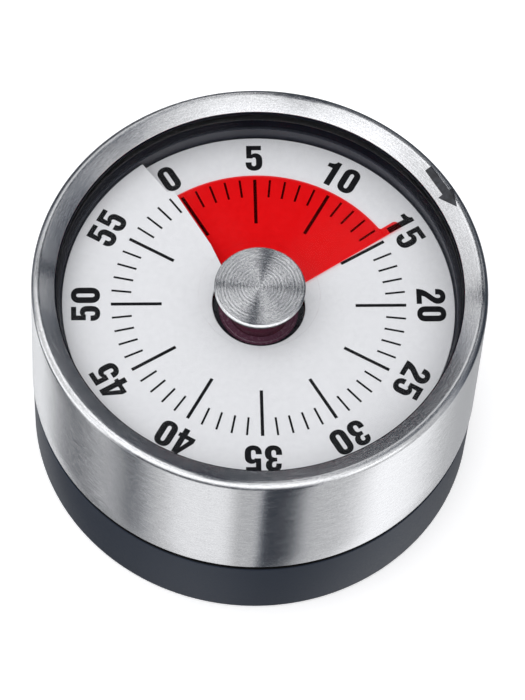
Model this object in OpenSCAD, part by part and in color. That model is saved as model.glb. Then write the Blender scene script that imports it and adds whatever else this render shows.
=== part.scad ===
// Visual countdown timer, sixty minutes, clockwork.
// A steel grip ring with a clear window turns over a fixed helical dial. A red film turns with
// the ring and comes up through a slit in the dial, so the red sector shows the time left.
// Origin: middle of the base on the surface it stands on. +Z up, the 0 mark towards +Y.

/* [Grip ring] */
// Outer diameter of the steel shell
ring_d = 78; // [77:0.5:86]
// Height of the steel shell
ring_h = 30.2; // [28:0.1:36]
// Sheet thickness of the steel shell
ring_wall = 0.6; // [0.5:0.05:0.8]
// How far the shell draws in, in radius, at its lower edge
ring_draft = 0.25; // [0:0.05:0.4]
// Width of the lip between the outer wall and the opening
lip_w = 4; // [3.6:0.1:5]
// Outer rounding radius of the lip
lip_round = 1.1; // [0.9:0.1:1.6]
// Slope of the lip towards the opening, in degrees
lip_slope = 26; // [18:1:30]
// Thickness of the black liner's skirt
liner_wall = 0.9; // [0.7:0.05:1.0]
// Radial depth of the liner's running lands
liner_land = 1.45; // [1.3:0.05:1.8]
// Height of each running land
land_h = 2.8; // [2:0.1:4]
// Thickness of the liner's flange over the dial carrier
flange_t = 1.0; // [0.8:0.1:1.4]
// How far the liner shows inside the lip
liner_reveal = 0.35; // [0.2:0.05:0.5]

/* [Window] */
// Thickness of the clear window
lens_t = 1.3; // [1:0.1:1.6]
// Radius of the shallow boss under the window
lens_boss_r = 10.4; // [9:0.1:12]
// Thickness of that boss
lens_boss_t = 0.4; // [0.2:0.1:0.6]
// Radius of the window's hub
lens_hub_r = 4.4; // [4:0.1:5]
// Length of the window's hub under the boss
lens_hub_h = 1.7; // [1:0.1:2]
// Thickness of the gasket under the window
gasket_t = 0.4; // [0.3:0.05:0.6]

/* [Knob] */
// Radius of the spun metal cap
knob_r = 7.82; // [7:0.1:8.5]
// Thickness of the cap
knob_t = 0.65; // [0.65:0.05:1.4]
// How far the dark collar lies inside the cap's edge
knob_collar_inset = 0.27; // [0.2:0.01:1.2]
// Thickness of the collar
knob_collar_t = 0.7; // [0.3:0.05:1]
// Bevel of the cap's edge
knob_bevel = 0.25; // [0.1:0.05:0.3]
// Radius of the cap's pin
knob_pin_r = 1.2; // [1:0.05:1.3]
// Length of the cap's pin under the collar
knob_pin_h = 5; // [3:0.5:8]

/* [Base] */
// Height of the visible base
base_h = 15.2; // [13:0.1:18]
// How far the base's top edge lies inside the shell's wall
base_inset = 0.4; // [0.2:0.05:0.8]
// How far the base draws in towards its foot
base_draft = 0.35; // [0:0.05:0.4]
// Gap between the base and the steel shell
base_gap = 1.4; // [1:0.1:2]
// Wall of the base
base_wall = 1.8; // [1.6:0.1:2.2]
// Rounding of the base's lower edge
base_edge = 0.4; // [0.2:0.1:1]
// Rounding of the base's upper edge
base_top_edge = 0.15; // [0.1:0.05:0.4]
// Wall of the drum that the grip turns on
drum_wall = 2.2; // [1.8:0.1:2.4]
// How far the glide ring reaches up inside the shell
glide_lap = 1.0; // [0.6:0.1:1.6]
// Thickness of the glide ring's flange on the base's shoulder
glide_flange_t = 0.5; // [0.3:0.1:0.8]
// Standing height of the housing over the rubber foot
foot_stand = 0.2; // [0.2:0.05:0.5]
// Height of the rubber foot ring
foot_h = 1.1; // [0.8:0.1:1.6]
// Width of the rubber foot ring
foot_w = 1.4; // [1.1:0.1:1.6]
// Rim of the cover outside the foot ring
foot_edge = 0.5; // [0.4:0.05:0.6]
// Thickness of the bottom cover
cover_t = 2.0; // [1.8:0.1:3]
// Radius of the holding magnet
magnet_r = 9; // [6:0.5:12]
// Thickness of the holding magnet
magnet_t = 2.0; // [1.5:0.1:2.5]
// Wall of the steel cup around the magnet
cup_wall = 1.0; // [0.8:0.1:1.4]
// Flange of that cup over the cover
cup_flange = 1.5; // [1:0.1:3]

/* [Dial] */
// Depth of the 0 mark under the inner edge of the lip
dial_depth = 7.0; // [6.8:0.1:8]
// Rise of the dial over one turn
dial_pitch = 2.13; // [1.9:0.01:2.2]
// Thickness of the dial
dial_t = 0.5; // [0.4:0.05:0.6]
// Radius of the dial's middle hole
dial_hole_r = 8.0; // [7.5:0.1:9]
// Gap between the dial's rim and the carrier's wall
dial_rim_gap = 0.35; // [0.2:0.05:0.4]
// Clearance beside the film's edge, and of the liner's wall from the edge of the dial's pocket
dial_gap = 0.1; // [0.05:0.01:0.2]
// How far the slit runs beside the 0 mark
slit_side = 1.2; // [1:0.1:1.5]
// The same at the middle hole, where the slit opens
slit_side_hole = 2.0; // [1.5:0.1:2.4]
// The same just outside the film
slit_side_step = 2.3; // [2:0.1:2.6]
// The same at the rim
slit_side_rim = 3.17; // [3:0.05:3.6]
// How far outside the middle hole the slit has narrowed
slit_taper = 6; // [4:0.5:8]
// Radial width of the slit's step outside the film
slit_step = 0.7; // [0.5:0.1:1]
// Wall of the carrier around the dial
carrier_wall = 2.55; // [2.3:0.05:2.8]
// How far that wall stands over the highest point of the dial
carrier_stand = 0.55; // [0.3:0.05:0.8]
// Thickness of the carrier's floor
carrier_floor = 1.2; // [1:0.1:2]
// Depth of the carrier's floor under the 0 mark
carrier_depth = 2.45; // [2.4:0.05:3]
// Gap between the film's tab and the helical ledge that holds the dial
ledge_gap = 0.85; // [0.5:0.05:1]
// Thickness of the ledge
ledge_t = 0.8; // [0.6:0.1:1]
// Steps in one turn of the helical surfaces
helix_steps = 72; // [48:12:96]

/* [Red film] */
// Radius of the red film
film_r = 26.0; // [25:0.1:27]
// Thickness of the film
film_t = 0.2; // [0.15:0.05:0.25]
// Height of the film over the dial
film_lift = 0.15; // [0.1:0.05:0.2]
// Angle that the film spans
film_span = 357; // [350:1:357]
// Minutes shown at rest
shown_minutes = 15; // [5:1:30]
// Skew of the leading edge, mm across per mm along
lead_skew = 0.045; // [0:0.005:0.06]
// Radius at which the leading edge crosses the shown minute
lead_cross_r = 11; // [9:0.5:14]
// Outer radius of the pointer tab
tab_r = 29.4; // [28:0.1:29.8]
// Width of the pointer tab
tab_w = 1.55; // [1.2:0.05:2]
// Rounding at the tab's root and tip
tab_round = 0.8; // [0.4:0.1:1]
// How far the tab's sheet reaches into the film's
tab_bite = 0.3; // [0.2:0.05:0.4]
// Radius of the film's hub
film_hub_r = 5.2; // [4.6:0.1:5.6]
// Height of the film's hub
film_hub_h = 2.7; // [2.4:0.1:2.8]

/* [Movement] */
// Clear height between the movement plates
movement_h = 13.8; // [13.6:0.1:15]
// Gap between the movement plates and the bosses in the drum
plate_gap = 0.4; // [0.3:0.1:0.8]
// Thickness of the movement plates
plate_t = 1.2; // [1:0.1:1.6]
// Space between the front plate and the dial carrier
plate_space = 1.4; // [1:0.1:2]
// Radius of the pillars
pillar_r = 1.6; // [1.4:0.1:2]
// Distance of the pillars and mount screws from the plates' edge
post_edge = 2.2; // [2:0.1:2.4]
// Radius of the main arbor
main_arbor_r = 2.0; // [1.8:0.1:2.2]
// Radius of the main arbor's back pivot
main_pivot_r = 1.2; // [1:0.1:1.4]
// Width of the key along the main arbor
key_w = 0.8; // [0.6:0.1:1]
// Height of the key over the arbor
key_h = 0.5; // [0.3:0.1:0.7]
// Radius of the train's arbors
arbor_r = 0.8; // [0.65:0.05:0.9]
// Radius of the train's pivots
pivot_r = 0.55; // [0.4:0.05:0.6]
// End shake of each arbor between the plates
end_shake = 0.1; // [0.05:0.01:0.15]
// Distance of the slow arbors from the middle
train_r = 17; // [16.8:0.1:17.4]
// Direction of the second arbor
second_dir = 180; // [175:1:185]
// Inner radius of the spring barrel
barrel_r = 10.4; // [10:0.1:10.8]
// Wall of the spring barrel
barrel_wall = 0.6; // [0.5:0.1:0.8]
// Height of the spring barrel
barrel_h = 4.4; // [4:0.1:4.6]
// Height of the mainspring strip
spring_h = 3.4; // [2:0.1:3.6]
// Turns of the mainspring
spring_turns = 5; // [3:1:6]
// Thickness of the mainspring strip
spring_t = 0.35; // [0.25:0.05:0.45]
// Outer radius of the spring collet on the main arbor
collet_r = 3.0; // [2.8:0.1:3.4]
// Thickness of the clutch spring
clutch_t = 0.25; // [0.2:0.05:0.3]
// Radial width of the clutch spring
clutch_w = 2.6; // [2.4:0.1:2.8]
// Height of the clutch spring between the main wheel and the cam
clutch_h = 0.8; // [0.7:0.05:1]

/* [Gears] */
// Teeth of the main wheel
main_teeth = 72; // [72:1:72]
// Teeth of the second wheel
second_teeth = 64; // [64:1:64]
// Teeth of the third wheel
third_teeth = 60; // [60:1:60]
// Leaves of each pinion
pinion_teeth = 8; // [8:1:8]
// Module of the main wheel
main_module = 0.4; // [0.39:0.005:0.41]
// Module of the second wheel
second_module = 0.35; // [0.34:0.005:0.36]
// Module of the third wheel
third_module = 0.3; // [0.29:0.005:0.31]
// Extra centre distance of each mesh
mesh_gap = 0.06; // [0.05:0.01:0.1]
// Thickness of the wheels
wheel_t = 0.8; // [0.6:0.1:1]
// Radius of the escape wheel
escape_r = 5.5; // [5:0.1:5.8]
// Depth of the escape wheel's teeth
escape_tooth = 1.4; // [1:0.1:2]
// Teeth of the escape wheel
escape_teeth = 15; // [12:1:18]
// Radius of the balance
balance_r = 6.2; // [5.5:0.1:6.4]
// Rim width of the balance
balance_rim = 1.4; // [1:0.1:2]
// Thickness of the balance
balance_t = 1.0; // [0.8:0.1:1.2]
// Width of the pallet anchor's arms
pallet_w = 1.0; // [0.8:0.1:1.4]
// Gap between the anchor's pallets and the escape wheel
pallet_gap = 0.8; // [0.6:0.1:1]
// Distance from the escape arbor to the balance staff
anchor_dist = 7.5; // [7.3:0.1:7.8]

/* [Bell] */
// Radius of the bell at its rim
bell_r = 21; // [19:0.5:22]
// Height of the bell
bell_h = 8; // [7:0.1:8.4]
// Wall of the bell
bell_wall = 0.8; // [0.6:0.1:1]
// Rounding radius of the bell's shoulder
bell_dome = 5; // [3:0.5:6]
// Radius of the bell's post
bell_post_r = 2.5; // [2:0.1:4]
// Radius of the post's foot on the back plate
post_foot_r = 4.5; // [3.5:0.5:6]
// Gap between the back plate and the bell
bell_drop = 2.2; // [2:0.1:3]
// Radius of the hammer's head
hammer_r = 2.2; // [1.8:0.1:2.4]
// Height of the hammer's head
hammer_h = 5; // [4:0.5:6]
// Gap between the hammer and the bell at rest
hammer_gap = 0.6; // [0.5:0.05:0.8]
// Length of the hammer's arm
hammer_len = 9; // [8:0.5:10]
// Width of the hammer's arm
hammer_arm_w = 1.6; // [1.2:0.1:2]
// Thickness of the hammer's arm
hammer_arm_t = 1.2; // [0.8:0.1:1.6]
// Width of the hammer's tail
hammer_tail_w = 1.4; // [1:0.1:1.8]
// Distance of the hammer's staff from the bell's rim
staff_space = 4; // [3.8:0.1:4.4]
// Direction of the hammer's staff
hammer_dir = 70; // [60:1:80]
// Radius of the hammer's staff
hammer_staff_r = 1.0; // [0.8:0.05:1.2]

/* [Screws] */
// Thread radius of the screws
screw_r = 1.0; // [0.9:0.05:1.1]
// Head radius of the screws
screw_head_r = 1.7; // [1.5:0.05:1.75]
// Head height of the screws
screw_head_h = 0.9; // [0.7:0.1:1]
// Length of the screws under the head
screw_l = 5; // [4:0.5:6]
// Radius of the bosses that take the screws
boss_r = 2.4; // [2.2:0.1:2.6]
// How far the bosses reach into the drum's wall
boss_bite = 0.2; // [0.2:0.05:0.4]
// Width of the screws' cross slots
slot_w = 0.4; // [0.3:0.05:0.5]

/* [Fits] */
// Radial clearance of running fits
run_fit = 0.05; // [0.03:0.01:0.08]
// Clearance between pieces that are fitted and still
set_fit = 0.05; // [0.03:0.01:0.08]
// Clearance between pieces that pass each other
pass_gap = 0.4; // [0.3:0.05:0.5]

/* [Hidden] */
$fn = 96;

MINUTE = 6;                       // degrees of dial to a minute
EPS = 0.01;                       // overlap that joins two shapes of one solid

// Heights, from the surface up
shell_z = base_h + base_gap;
ring_top = shell_z + ring_h;
lip_zc = ring_top - lip_round;
ring_r = ring_d / 2;
lip_rc = ring_r - lip_round;
lip_tangent = [lip_rc + lip_round * cos(90 + lip_slope), lip_zc + lip_round * sin(90 + lip_slope)];
open_r = ring_r - lip_w;
lip_edge_z = lip_tangent.y - (lip_tangent.x - open_r) * tan(lip_slope);
lens_top = lip_edge_z - ring_wall / cos(lip_slope) - set_fit;
lens_z = lens_top - lens_t;
gasket_z = lens_z - gasket_t;
dial_z = lip_edge_z - dial_depth;
carrier_top = dial_z + dial_pitch + carrier_stand;
floor_top = dial_z - carrier_depth;
drum_top = floor_top - carrier_floor;
front_top = drum_top - plate_space;
front_z = front_top - plate_t;
back_top = front_z - movement_h;
back_z = back_top - plate_t;
bell_top = back_z - bell_drop;
bell_z = bell_top - bell_h;
cover_z = foot_stand;
cover_top = cover_z + cover_t;

// Radii, from the shell inwards
shell_in_r = ring_r - ring_draft - ring_wall;
liner_r = shell_in_r - set_fit;
drum_r = liner_r - liner_land - run_fit;
drum_in_r = drum_r - drum_wall;
pocket_r = drum_r - carrier_wall;
dial_r = pocket_r - dial_rim_gap;
ledge_in_r = tab_r + ledge_gap;
liner_rim_r = open_r - liner_reveal;
base_top_r = ring_r - base_inset;
base_foot_r = base_top_r - base_draft;
cover_r = base_foot_r - base_wall - set_fit;
foot_r = cover_r - foot_edge - set_fit;
boss_at = drum_in_r + boss_bite - boss_r;
plate_r = boss_at - boss_r - plate_gap;
post_at = plate_r - post_edge;
key_r = main_arbor_r + key_h;
knob_collar_r = knob_r - knob_collar_inset;

// More heights
liner_flange_z = carrier_top + pass_gap;
glide_h = base_gap + glide_lap;
hub_low_z = lens_z - lens_boss_t - lens_hub_h;
key_z = front_top + plate_space / 2;
head_sink = 0.2;                  // how deep the carrier screws' heads sit in its floor

// Train levels over the back plate
barrel_up = 0.4;
spring_up = 1.0;
escape_up = 2.4;
third_up = 5.6;
second_up = 7.6;
balance_up = 8.6;
main_up = 10.6;
barrel_z = back_top + barrel_up;
spring_z = back_top + spring_up;
escape_z = back_top + escape_up;
third_z = back_top + third_up;
second_z = back_top + second_up;
balance_z = back_top + balance_up;
main_z = back_top + main_up;
clutch_z = main_z + wheel_t;
cam_z = clutch_z + clutch_h;
cam_t = 0.9;
cam_r = 5.0;
cam_notch = 1.2;                  // depth of the cam's notch
pinion_over = 0.6;                // how far a pinion stands past its wheel on each side
wheel_hub = 2.4;                  // web left around an arbor inside a wheel
wheel_rim = 2.6;                  // rim of a wheel under its teeth, in modules
balance_hub = 1.0;                // wall of the balance's and the anchor's hub
pallet_spread = 48;               // degrees between each pallet arm and the line of centres
pallet_l = 5.2;                   // length of the pallet arms

// Teeth: addendum and dedendum in modules, half width at tip and root as shares of half a pitch
WHEEL_TOOTH = [0.75, 1.05, 0.2, 0.62];
PINION_LEAF = [0.7, 1.0, 0.14, 0.5];

// Hammer levels
arm_up = 1.6;                     // underside of the arm over the bell's rim
staff_over = 0.6;                 // how far the staff stands out under the arm
hammer_arm_z = bell_z + arm_up;
hammer_low = hammer_arm_z - staff_over;
hammer_hub = 1.0;                 // wall of the hubs on the hammer's staff
coil_r = hammer_staff_r + 0.9;    // outer radius of the hammer's spring
coil_wire = 0.6;
coil_h = 5;

// Train places
function polar(r, a) = [r * cos(a), r * sin(a)];
function pitch_r(m, n) = m * n / 2;
function next_dir(a, r1, r2, d) = a + acos((r1 * r1 + r2 * r2 - d * d) / (2 * r1 * r2));
main_mesh = pitch_r(main_module, main_teeth + pinion_teeth) + mesh_gap;
second_mesh = pitch_r(second_module, second_teeth + pinion_teeth) + mesh_gap;
third_mesh = pitch_r(third_module, third_teeth + pinion_teeth) + mesh_gap;
third_dir = next_dir(second_dir, main_mesh, train_r, second_mesh);
escape_dir = next_dir(third_dir, train_r, train_r, third_mesh);
balance_dir = next_dir(escape_dir, train_r, train_r, anchor_dist);
second_at = polar(main_mesh, second_dir);
third_at = polar(train_r, third_dir);
escape_at = polar(train_r, escape_dir);
balance_at = polar(train_r, balance_dir);
hammer_at = bell_r + staff_space;
hammer_staff_at = polar(hammer_at, hammer_dir);
head_at_r = bell_r + hammer_gap + hammer_r;
head_dir = next_dir(hammer_dir, hammer_at, head_at_r, hammer_len);
head_at = polar(head_at_r, head_dir);
pillar_dirs = [20, 110, 205, 318];
mount_dirs = [0, 125, 245];
boss_dirs = [60, 180, 300];
nut_r = pillar_r + 0.3;
nut_h = 0.9;
bell_nut_r = screw_head_r + 0.4;
bell_nut_h = 1.2;
thread_over = 0.6;                // thread that shows past a nut
post_foot_t = 0.8;
mount_cover = 0.5;                // carrier floor left over a mount screw's tip
mount_reach = plate_t + plate_space + carrier_floor - mount_cover;

// Shape helpers
function arc(c, r, a0, a1, n = 10) =
    [for (i = [0:n]) c + r * [cos(a0 + (a1 - a0) * i / n), sin(a0 + (a1 - a0) * i / n)]];
function heading(a, b) = atan2(b.y - a.y, b.x - a.x);

module tube(r_out, r_in, z, h) {
    translate([0, 0, z]) difference() {
        cylinder(r = r_out, h = h);
        translate([0, 0, -1]) cylinder(r = r_in, h = h + 2);
    }
}

module disc(r, z, h) {
    translate([0, 0, z]) cylinder(r = r, h = h);
}

module at(p) {
    translate([p.x, p.y, 0]) children();
}

module ring_of(r, dirs) {
    for (a = dirs) at(polar(r, a)) children();
}

// A sheet that climbs like a screw. radii lists the stations across it, from_a and to_a the clock
// angle at each station where it starts and ends, base_z the height of its top at clock angle 0.
module helicoid(radii, from_a, to_a, base_z, t, steps) {
    n = len(radii);
    function along(j, i) = from_a[j] + (to_a[j] - from_a[j]) * i / steps;
    function spot(j, i, dz) = let (a = along(j, i))
        [radii[j] * sin(a), radii[j] * cos(a), base_z + dial_pitch * a / 360 - dz];
    top = [for (i = [0:steps]) for (j = [0:n - 1]) spot(j, i, 0)];
    low = [for (i = [0:steps]) for (j = [0:n - 1]) spot(j, i, t)];
    under = len(top);
    cells = [for (i = [0:steps - 1]) for (j = [0:n - 2]) i * n + j];
    faces = concat(
        [for (c = cells) each [[c, c + 1, c + n], [c + 1, c + n + 1, c + n]]],
        [for (c = cells) each [[under + c, under + c + n, under + c + 1],
            [under + c + 1, under + c + n, under + c + n + 1]]],
        [for (i = [0:steps - 1]) let (c = i * n)
            each [[c, c + n, under + c], [c + n, under + c + n, under + c]]],
        [for (i = [0:steps - 1]) let (c = i * n + n - 1)
            each [[c, under + c, c + n], [c + n, under + c, under + c + n]]],
        [for (j = [0:n - 2]) each [[j, under + j, j + 1], [j + 1, under + j, under + j + 1]]],
        [for (j = [0:n - 2]) let (c = steps * n + j)
            each [[c, c + 1, under + c], [c + 1, under + c + 1, under + c]]]);
    polyhedron(points = concat(top, low), faces = faces, convexity = 6);
}

// A toothed outline: straight-flanked teeth of the given form, one of them centred on angle at.
function gear_outline(m, n, form, at) =
    let (step = 360 / n, rp = pitch_r(m, n), add = form[0], ded = form[1], tip = form[2], root = form[3])
    [for (k = [0:n - 1]) for (c = [[-root, -ded], [-tip, add], [tip, add], [root, -ded]])
        polar(rp + c[1] * m, at + step * (k + c[0] / 2))];

// A wheel with six round holes in its web.
module toothed_wheel(m, n, at_angle, z, bore) {
    web_r = bore + wheel_hub;
    rim_r = pitch_r(m, n) - wheel_rim * m;
    translate([0, 0, z]) linear_extrude(height = wheel_t) difference() {
        polygon(gear_outline(m, n, WHEEL_TOOTH, at_angle));
        circle(r = bore);
        ring_of((rim_r + web_r) / 2, [0:60:300]) circle(r = (rim_r - web_r) / 2 * 0.75);
    }
}

// A pinion in mesh with the wheel whose underside is at wheel_z.
module pinion(m, at_angle, wheel_z) {
    translate([0, 0, wheel_z - pinion_over]) linear_extrude(height = wheel_t + 2 * pinion_over) difference() {
        polygon(gear_outline(m, pinion_teeth, PINION_LEAF, at_angle));
        circle(r = arbor_r);
    }
}

// An arbor between the plates, with a pivot in each.
module arbor(r, z, z_end) {
    disc(r, z, z_end - z);
    disc(pivot_r, z - pivot_l, pivot_l + EPS);
    disc(pivot_r, z_end - EPS, pivot_l + EPS);
}

// The key along the main arbor, or its keyway when gap is given.
module key(z, h, gap = 0) {
    translate([0, -key_w / 2 - gap, z]) cube([key_r + gap, key_w + 2 * gap, h]);
}

// A hexagonal nut on a thread of the screws' radius.
module nut(r, z, h) {
    difference() {
        translate([0, 0, z]) cylinder(r = r, h = h, $fn = 6);
        disc(screw_r, z - 1, h + 2);
    }
}

// A screw with a flat round head and a cross slot, head upwards.
module screw(l = screw_l) {
    difference() {
        union() {
            cylinder(r = screw_head_r, h = screw_head_h);
            translate([0, 0, -l]) cylinder(r = screw_r, h = l + EPS);
        }
        for (a = [0, 90]) rotate(a) translate([-screw_r, -slot_w / 2, screw_head_h / 2])
            cube([2 * screw_r, slot_w, screw_head_h]);
    }
}

pivot_l = plate_t - end_shake;

// ---- Grip: everything that turns with the steel ring ----

// Drawn steel shell: wall, rounded rim and the lip that slopes in to the opening.
module steel_ring() {
    low = [ring_r - ring_draft, shell_z];
    drop = ring_wall * [cos(90 + lip_slope), sin(90 + lip_slope)];
    edge = [open_r, lip_edge_z];
    color("silver") rotate_extrude() polygon(concat(
        [low],
        arc([lip_rc, lip_zc], lip_round, 0, 90 + lip_slope),
        [edge, edge - [0, ring_wall / cos(lip_slope)], lip_tangent - drop],
        arc([lip_rc, lip_zc], lip_round - ring_wall, 90 + lip_slope, 0, 6),
        [[low.x - ring_wall, shell_z]]));
}

// Black plastic liner: skirt with two running lands, flange and the wall seen under the window.
module bezel_liner() {
    skirt_z = base_h + glide_h + run_fit;
    wall_in = liner_r - liner_wall;
    land_in = liner_r - liner_land;
    ramp = liner_land - liner_wall;
    color("#16171d") rotate_extrude() polygon([
        [liner_r, skirt_z], [liner_r, gasket_z], [liner_rim_r, gasket_z],
        [pocket_r + dial_gap, liner_flange_z], [land_in, liner_flange_z],
        [land_in, liner_flange_z - flange_t - land_h],
        [wall_in, liner_flange_z - flange_t - land_h - ramp], [wall_in, skirt_z + land_h + ramp],
        [land_in, skirt_z + land_h], [land_in, skirt_z]]);
}

// Flat gasket that the window rests on.
module lens_gasket() {
    color("#101114") tube(liner_r - set_fit, liner_rim_r + set_fit, gasket_z, gasket_t);
}

// Clear window with a hub that is keyed to the main arbor.
module lens() {
    color("#dfe8ee", 0.3) difference() {
        union() {
            disc(liner_r - set_fit, lens_z, lens_t);
            disc(lens_boss_r, lens_z - lens_boss_t, lens_boss_t + EPS);
            disc(lens_hub_r, hub_low_z, lens_z - hub_low_z);
        }
        disc(main_arbor_r + set_fit, hub_low_z - 1, lens_top - hub_low_z + 2);
        key(hub_low_z - 1, lens_z - lens_boss_t - hub_low_z + 1, set_fit);
    }
}

// Spun metal cap with its pin.
module knob_cap() {
    z = lens_top + set_fit + knob_collar_t;
    color("#c9cbce") union() {
        translate([0, 0, z]) rotate_extrude() polygon([
            [0, 0], [knob_r - knob_bevel, 0], [knob_r, knob_bevel],
            [knob_r, knob_t - knob_bevel], [knob_r - knob_bevel, knob_t], [0, knob_t]]);
        disc(knob_pin_r, z - knob_collar_t - knob_pin_h, knob_collar_t + knob_pin_h + EPS);
    }
}

// Dark collar between the cap and the window.
module knob_collar() {
    color("#202126") tube(knob_collar_r, knob_pin_r + set_fit, lens_top + set_fit, knob_collar_t);
}

// Main arbor: bearings in both plates, key for the film's hub and the window, bore for the knob's pin.
module main_arbor() {
    low = back_top + end_shake;
    color("#8d9196") difference() {
        union() {
            disc(main_arbor_r, low, lens_top - low);
            disc(main_pivot_r, low - pivot_l, pivot_l + EPS);
            key(key_z, lens_z - lens_boss_t - set_fit - key_z);
        }
        disc(knob_pin_r + set_fit, lens_top - knob_pin_h, knob_pin_h + 1);
    }
}

// Collet that takes the inner end of the mainspring.
module spring_collet() {
    color("#8a7a4a") tube(collet_r, main_arbor_r, spring_z, spring_h);
}

// Main wheel, driven by the main arbor through the clutch.
module main_wheel() {
    color("#b8963e") toothed_wheel(main_module, main_teeth, second_dir, main_z, main_arbor_r);
}

// Dished clutch spring that lets the ring be wound without turning the train.
module clutch_spring() {
    h = cam_z - clutch_z;
    top_r = main_arbor_r + clutch_w / 2;
    low_r = main_arbor_r + clutch_w;
    color("#6f7377") translate([0, 0, clutch_z]) rotate_extrude() polygon([
        [main_arbor_r, h - clutch_t], [main_arbor_r, h], [top_r, h], [low_r, clutch_t], [low_r, 0],
        [low_r - clutch_t, 0], [top_r - clutch_t, h - clutch_t]]);
}

// Cam with one notch, which frees the hammer at 0.
module release_cam() {
    notch_dir = hammer_dir - MINUTE * shown_minutes;
    color("#a88b3c") translate([0, 0, cam_z]) linear_extrude(height = cam_t) difference() {
        circle(r = cam_r);
        circle(r = main_arbor_r);
        rotate(notch_dir) translate([cam_r - cam_notch, -hammer_tail_w / 2 - pass_gap])
            square([2 * cam_notch, hammer_tail_w + 2 * pass_gap]);
    }
}

// ---- Red film and its hub ----

function lead_angle(r) = MINUTE * shown_minutes - asin(lead_skew * (r - lead_cross_r) / r);
film_in_r = film_hub_r + set_fit;
film_z = dial_z + film_lift + film_t;

// Red film: one turn of a screw surface, with the pointer tab at its leading edge.
module red_film() {
    inner = [for (i = [0:3]) film_in_r + (film_r - film_in_r) * i / 3];
    lead = [for (r = inner) lead_angle(r)];
    trail = [for (r = inner) MINUTE * shown_minutes - film_span];
    fillet = [for (i = [0:3]) [film_r + tab_round * i / 3, tab_w + tab_round * pow(1 - i / 3, 2)]];
    tip = [for (i = [0:3]) let (a = 30 * i)
        [tab_r - tab_round * (1 - sin(a)), tab_w - tab_round * (1 - cos(a))]];
    tab = concat([[film_r - tab_bite, tab_w + tab_round]], fillet, tip);
    tab_lead = [for (c = tab) lead_angle(c[0])];
    tab_root = [for (c = tab) lead_angle(c[0]) - asin(c[1] / c[0])];
    color("#e4161b") union() {
        helicoid(inner, trail, lead, film_z, film_t, helix_steps);
        helicoid([for (c = tab) c[0]], tab_root, tab_lead, film_z, film_t, 2);
    }
}

// Hub that carries the film up and down the main arbor's key.
module film_hub() {
    hub_z = film_z + dial_pitch * MINUTE * shown_minutes / 360 - film_hub_h;
    color("#8c1218") difference() {
        tube(film_hub_r, main_arbor_r + run_fit, hub_z, film_hub_h);
        key(hub_z - 1, film_hub_h + 2, run_fit);
    }
}

// ---- Base and housing ----

// Dark base: thick foot, shoulder and the drum that the grip turns on.
module base_housing() {
    wall_in = base_foot_r - base_wall;
    color("#343a44") difference() {
        union() {
            rotate_extrude() polygon(concat(
                [[wall_in, foot_stand]],
                arc([base_foot_r - base_edge, foot_stand + base_edge], base_edge, -90, 0, 5),
                arc([base_top_r - base_top_edge, base_h - base_top_edge], base_top_edge, 0, 90, 5),
                [[drum_r, base_h], [drum_r, drum_top], [drum_in_r, drum_top],
                    [drum_in_r, cover_top], [wall_in, cover_top]]));
            ring_of(boss_at, boss_dirs) disc(boss_r, cover_top, drum_top - cover_top);
        }
        ring_of(boss_at, boss_dirs) {
            disc(screw_r + set_fit, cover_top - 1, screw_l + 1);
            disc(screw_r + set_fit, drum_top - screw_l, screw_l + 1);
        }
    }
}

// Low-friction ring around the drum with a flange on the shoulder, seen as the black gap under the shell.
module glide_ring() {
    bore = drum_r + set_fit;
    ring = liner_r - run_fit;
    flange = base_top_r - base_top_edge;
    flange_top = base_h + glide_flange_t;
    color("#0c0d10") rotate_extrude() polygon([
        [bore, base_h], [flange, base_h], [flange, flange_top], [ring, flange_top],
        [ring, base_h + glide_h], [bore, base_h + glide_h]]);
}

// Bottom cover with a pocket for the magnet and a groove for the foot ring.
module base_cover() {
    color("#2c3038") difference() {
        disc(cover_r, cover_z, cover_t);
        disc(magnet_r + cup_wall + set_fit, cover_z - 1, cover_t + 3);
        tube(foot_r + set_fit, foot_r - foot_w - set_fit, cover_z - 1, 1 + foot_h - cover_z);
        ring_of(boss_at, boss_dirs) {
            disc(screw_r + set_fit, cover_z - 1, cover_t + 2);
            disc(screw_head_r + set_fit, cover_z - 1, 1 + screw_head_h + set_fit);
        }
    }
}

// Screws that hold the cover, heads down.
module cover_screws() {
    color("#9a9da1") ring_of(boss_at, boss_dirs) translate([0, 0, cover_z + screw_head_h]) mirror([0, 0, 1])
        screw();
}

// Rubber ring that the timer stands on.
module foot_ring() {
    color("#1b1c1f") tube(foot_r, foot_r - foot_w, 0, foot_h);
}

// Holding magnet.
module magnet() {
    color("#55585c") disc(magnet_r, cover_z, magnet_t);
}

// Steel cup that closes the magnet's back and holds it in the cover.
module magnet_cup() {
    color("#a4a7aa") union() {
        tube(magnet_r + cup_wall, magnet_r + set_fit, cover_z, cover_t + EPS);
        disc(magnet_r + cup_wall + cup_flange, cover_top, cup_wall);
    }
}

// Dial carrier: floor over the movement, wall around the dial and the helical ledge.
module dial_carrier() {
    a0 = -asin(slit_side_rim / dial_r);
    color("#3d414b") difference() {
        union() {
            tube(drum_r, dial_hole_r, drum_top, carrier_floor);
            tube(drum_r, pocket_r, floor_top - EPS, carrier_top - floor_top + EPS);
            helicoid([ledge_in_r, pocket_r + carrier_wall / 2], [a0, a0], [a0 + 360, a0 + 360],
                dial_z - dial_t - set_fit, ledge_t, helix_steps);
            ring_of(post_at, mount_dirs) disc(boss_r, front_top, plate_space + EPS);
        }
        ring_of(boss_at, boss_dirs) {
            disc(screw_r + set_fit, drum_top - 1, carrier_floor + 1);
            disc(screw_head_r + set_fit, floor_top - head_sink, screw_head_h);
        }
        ring_of(post_at, mount_dirs) disc(screw_r + set_fit, front_top - 1, mount_reach - plate_t + 1);
    }
}

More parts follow.
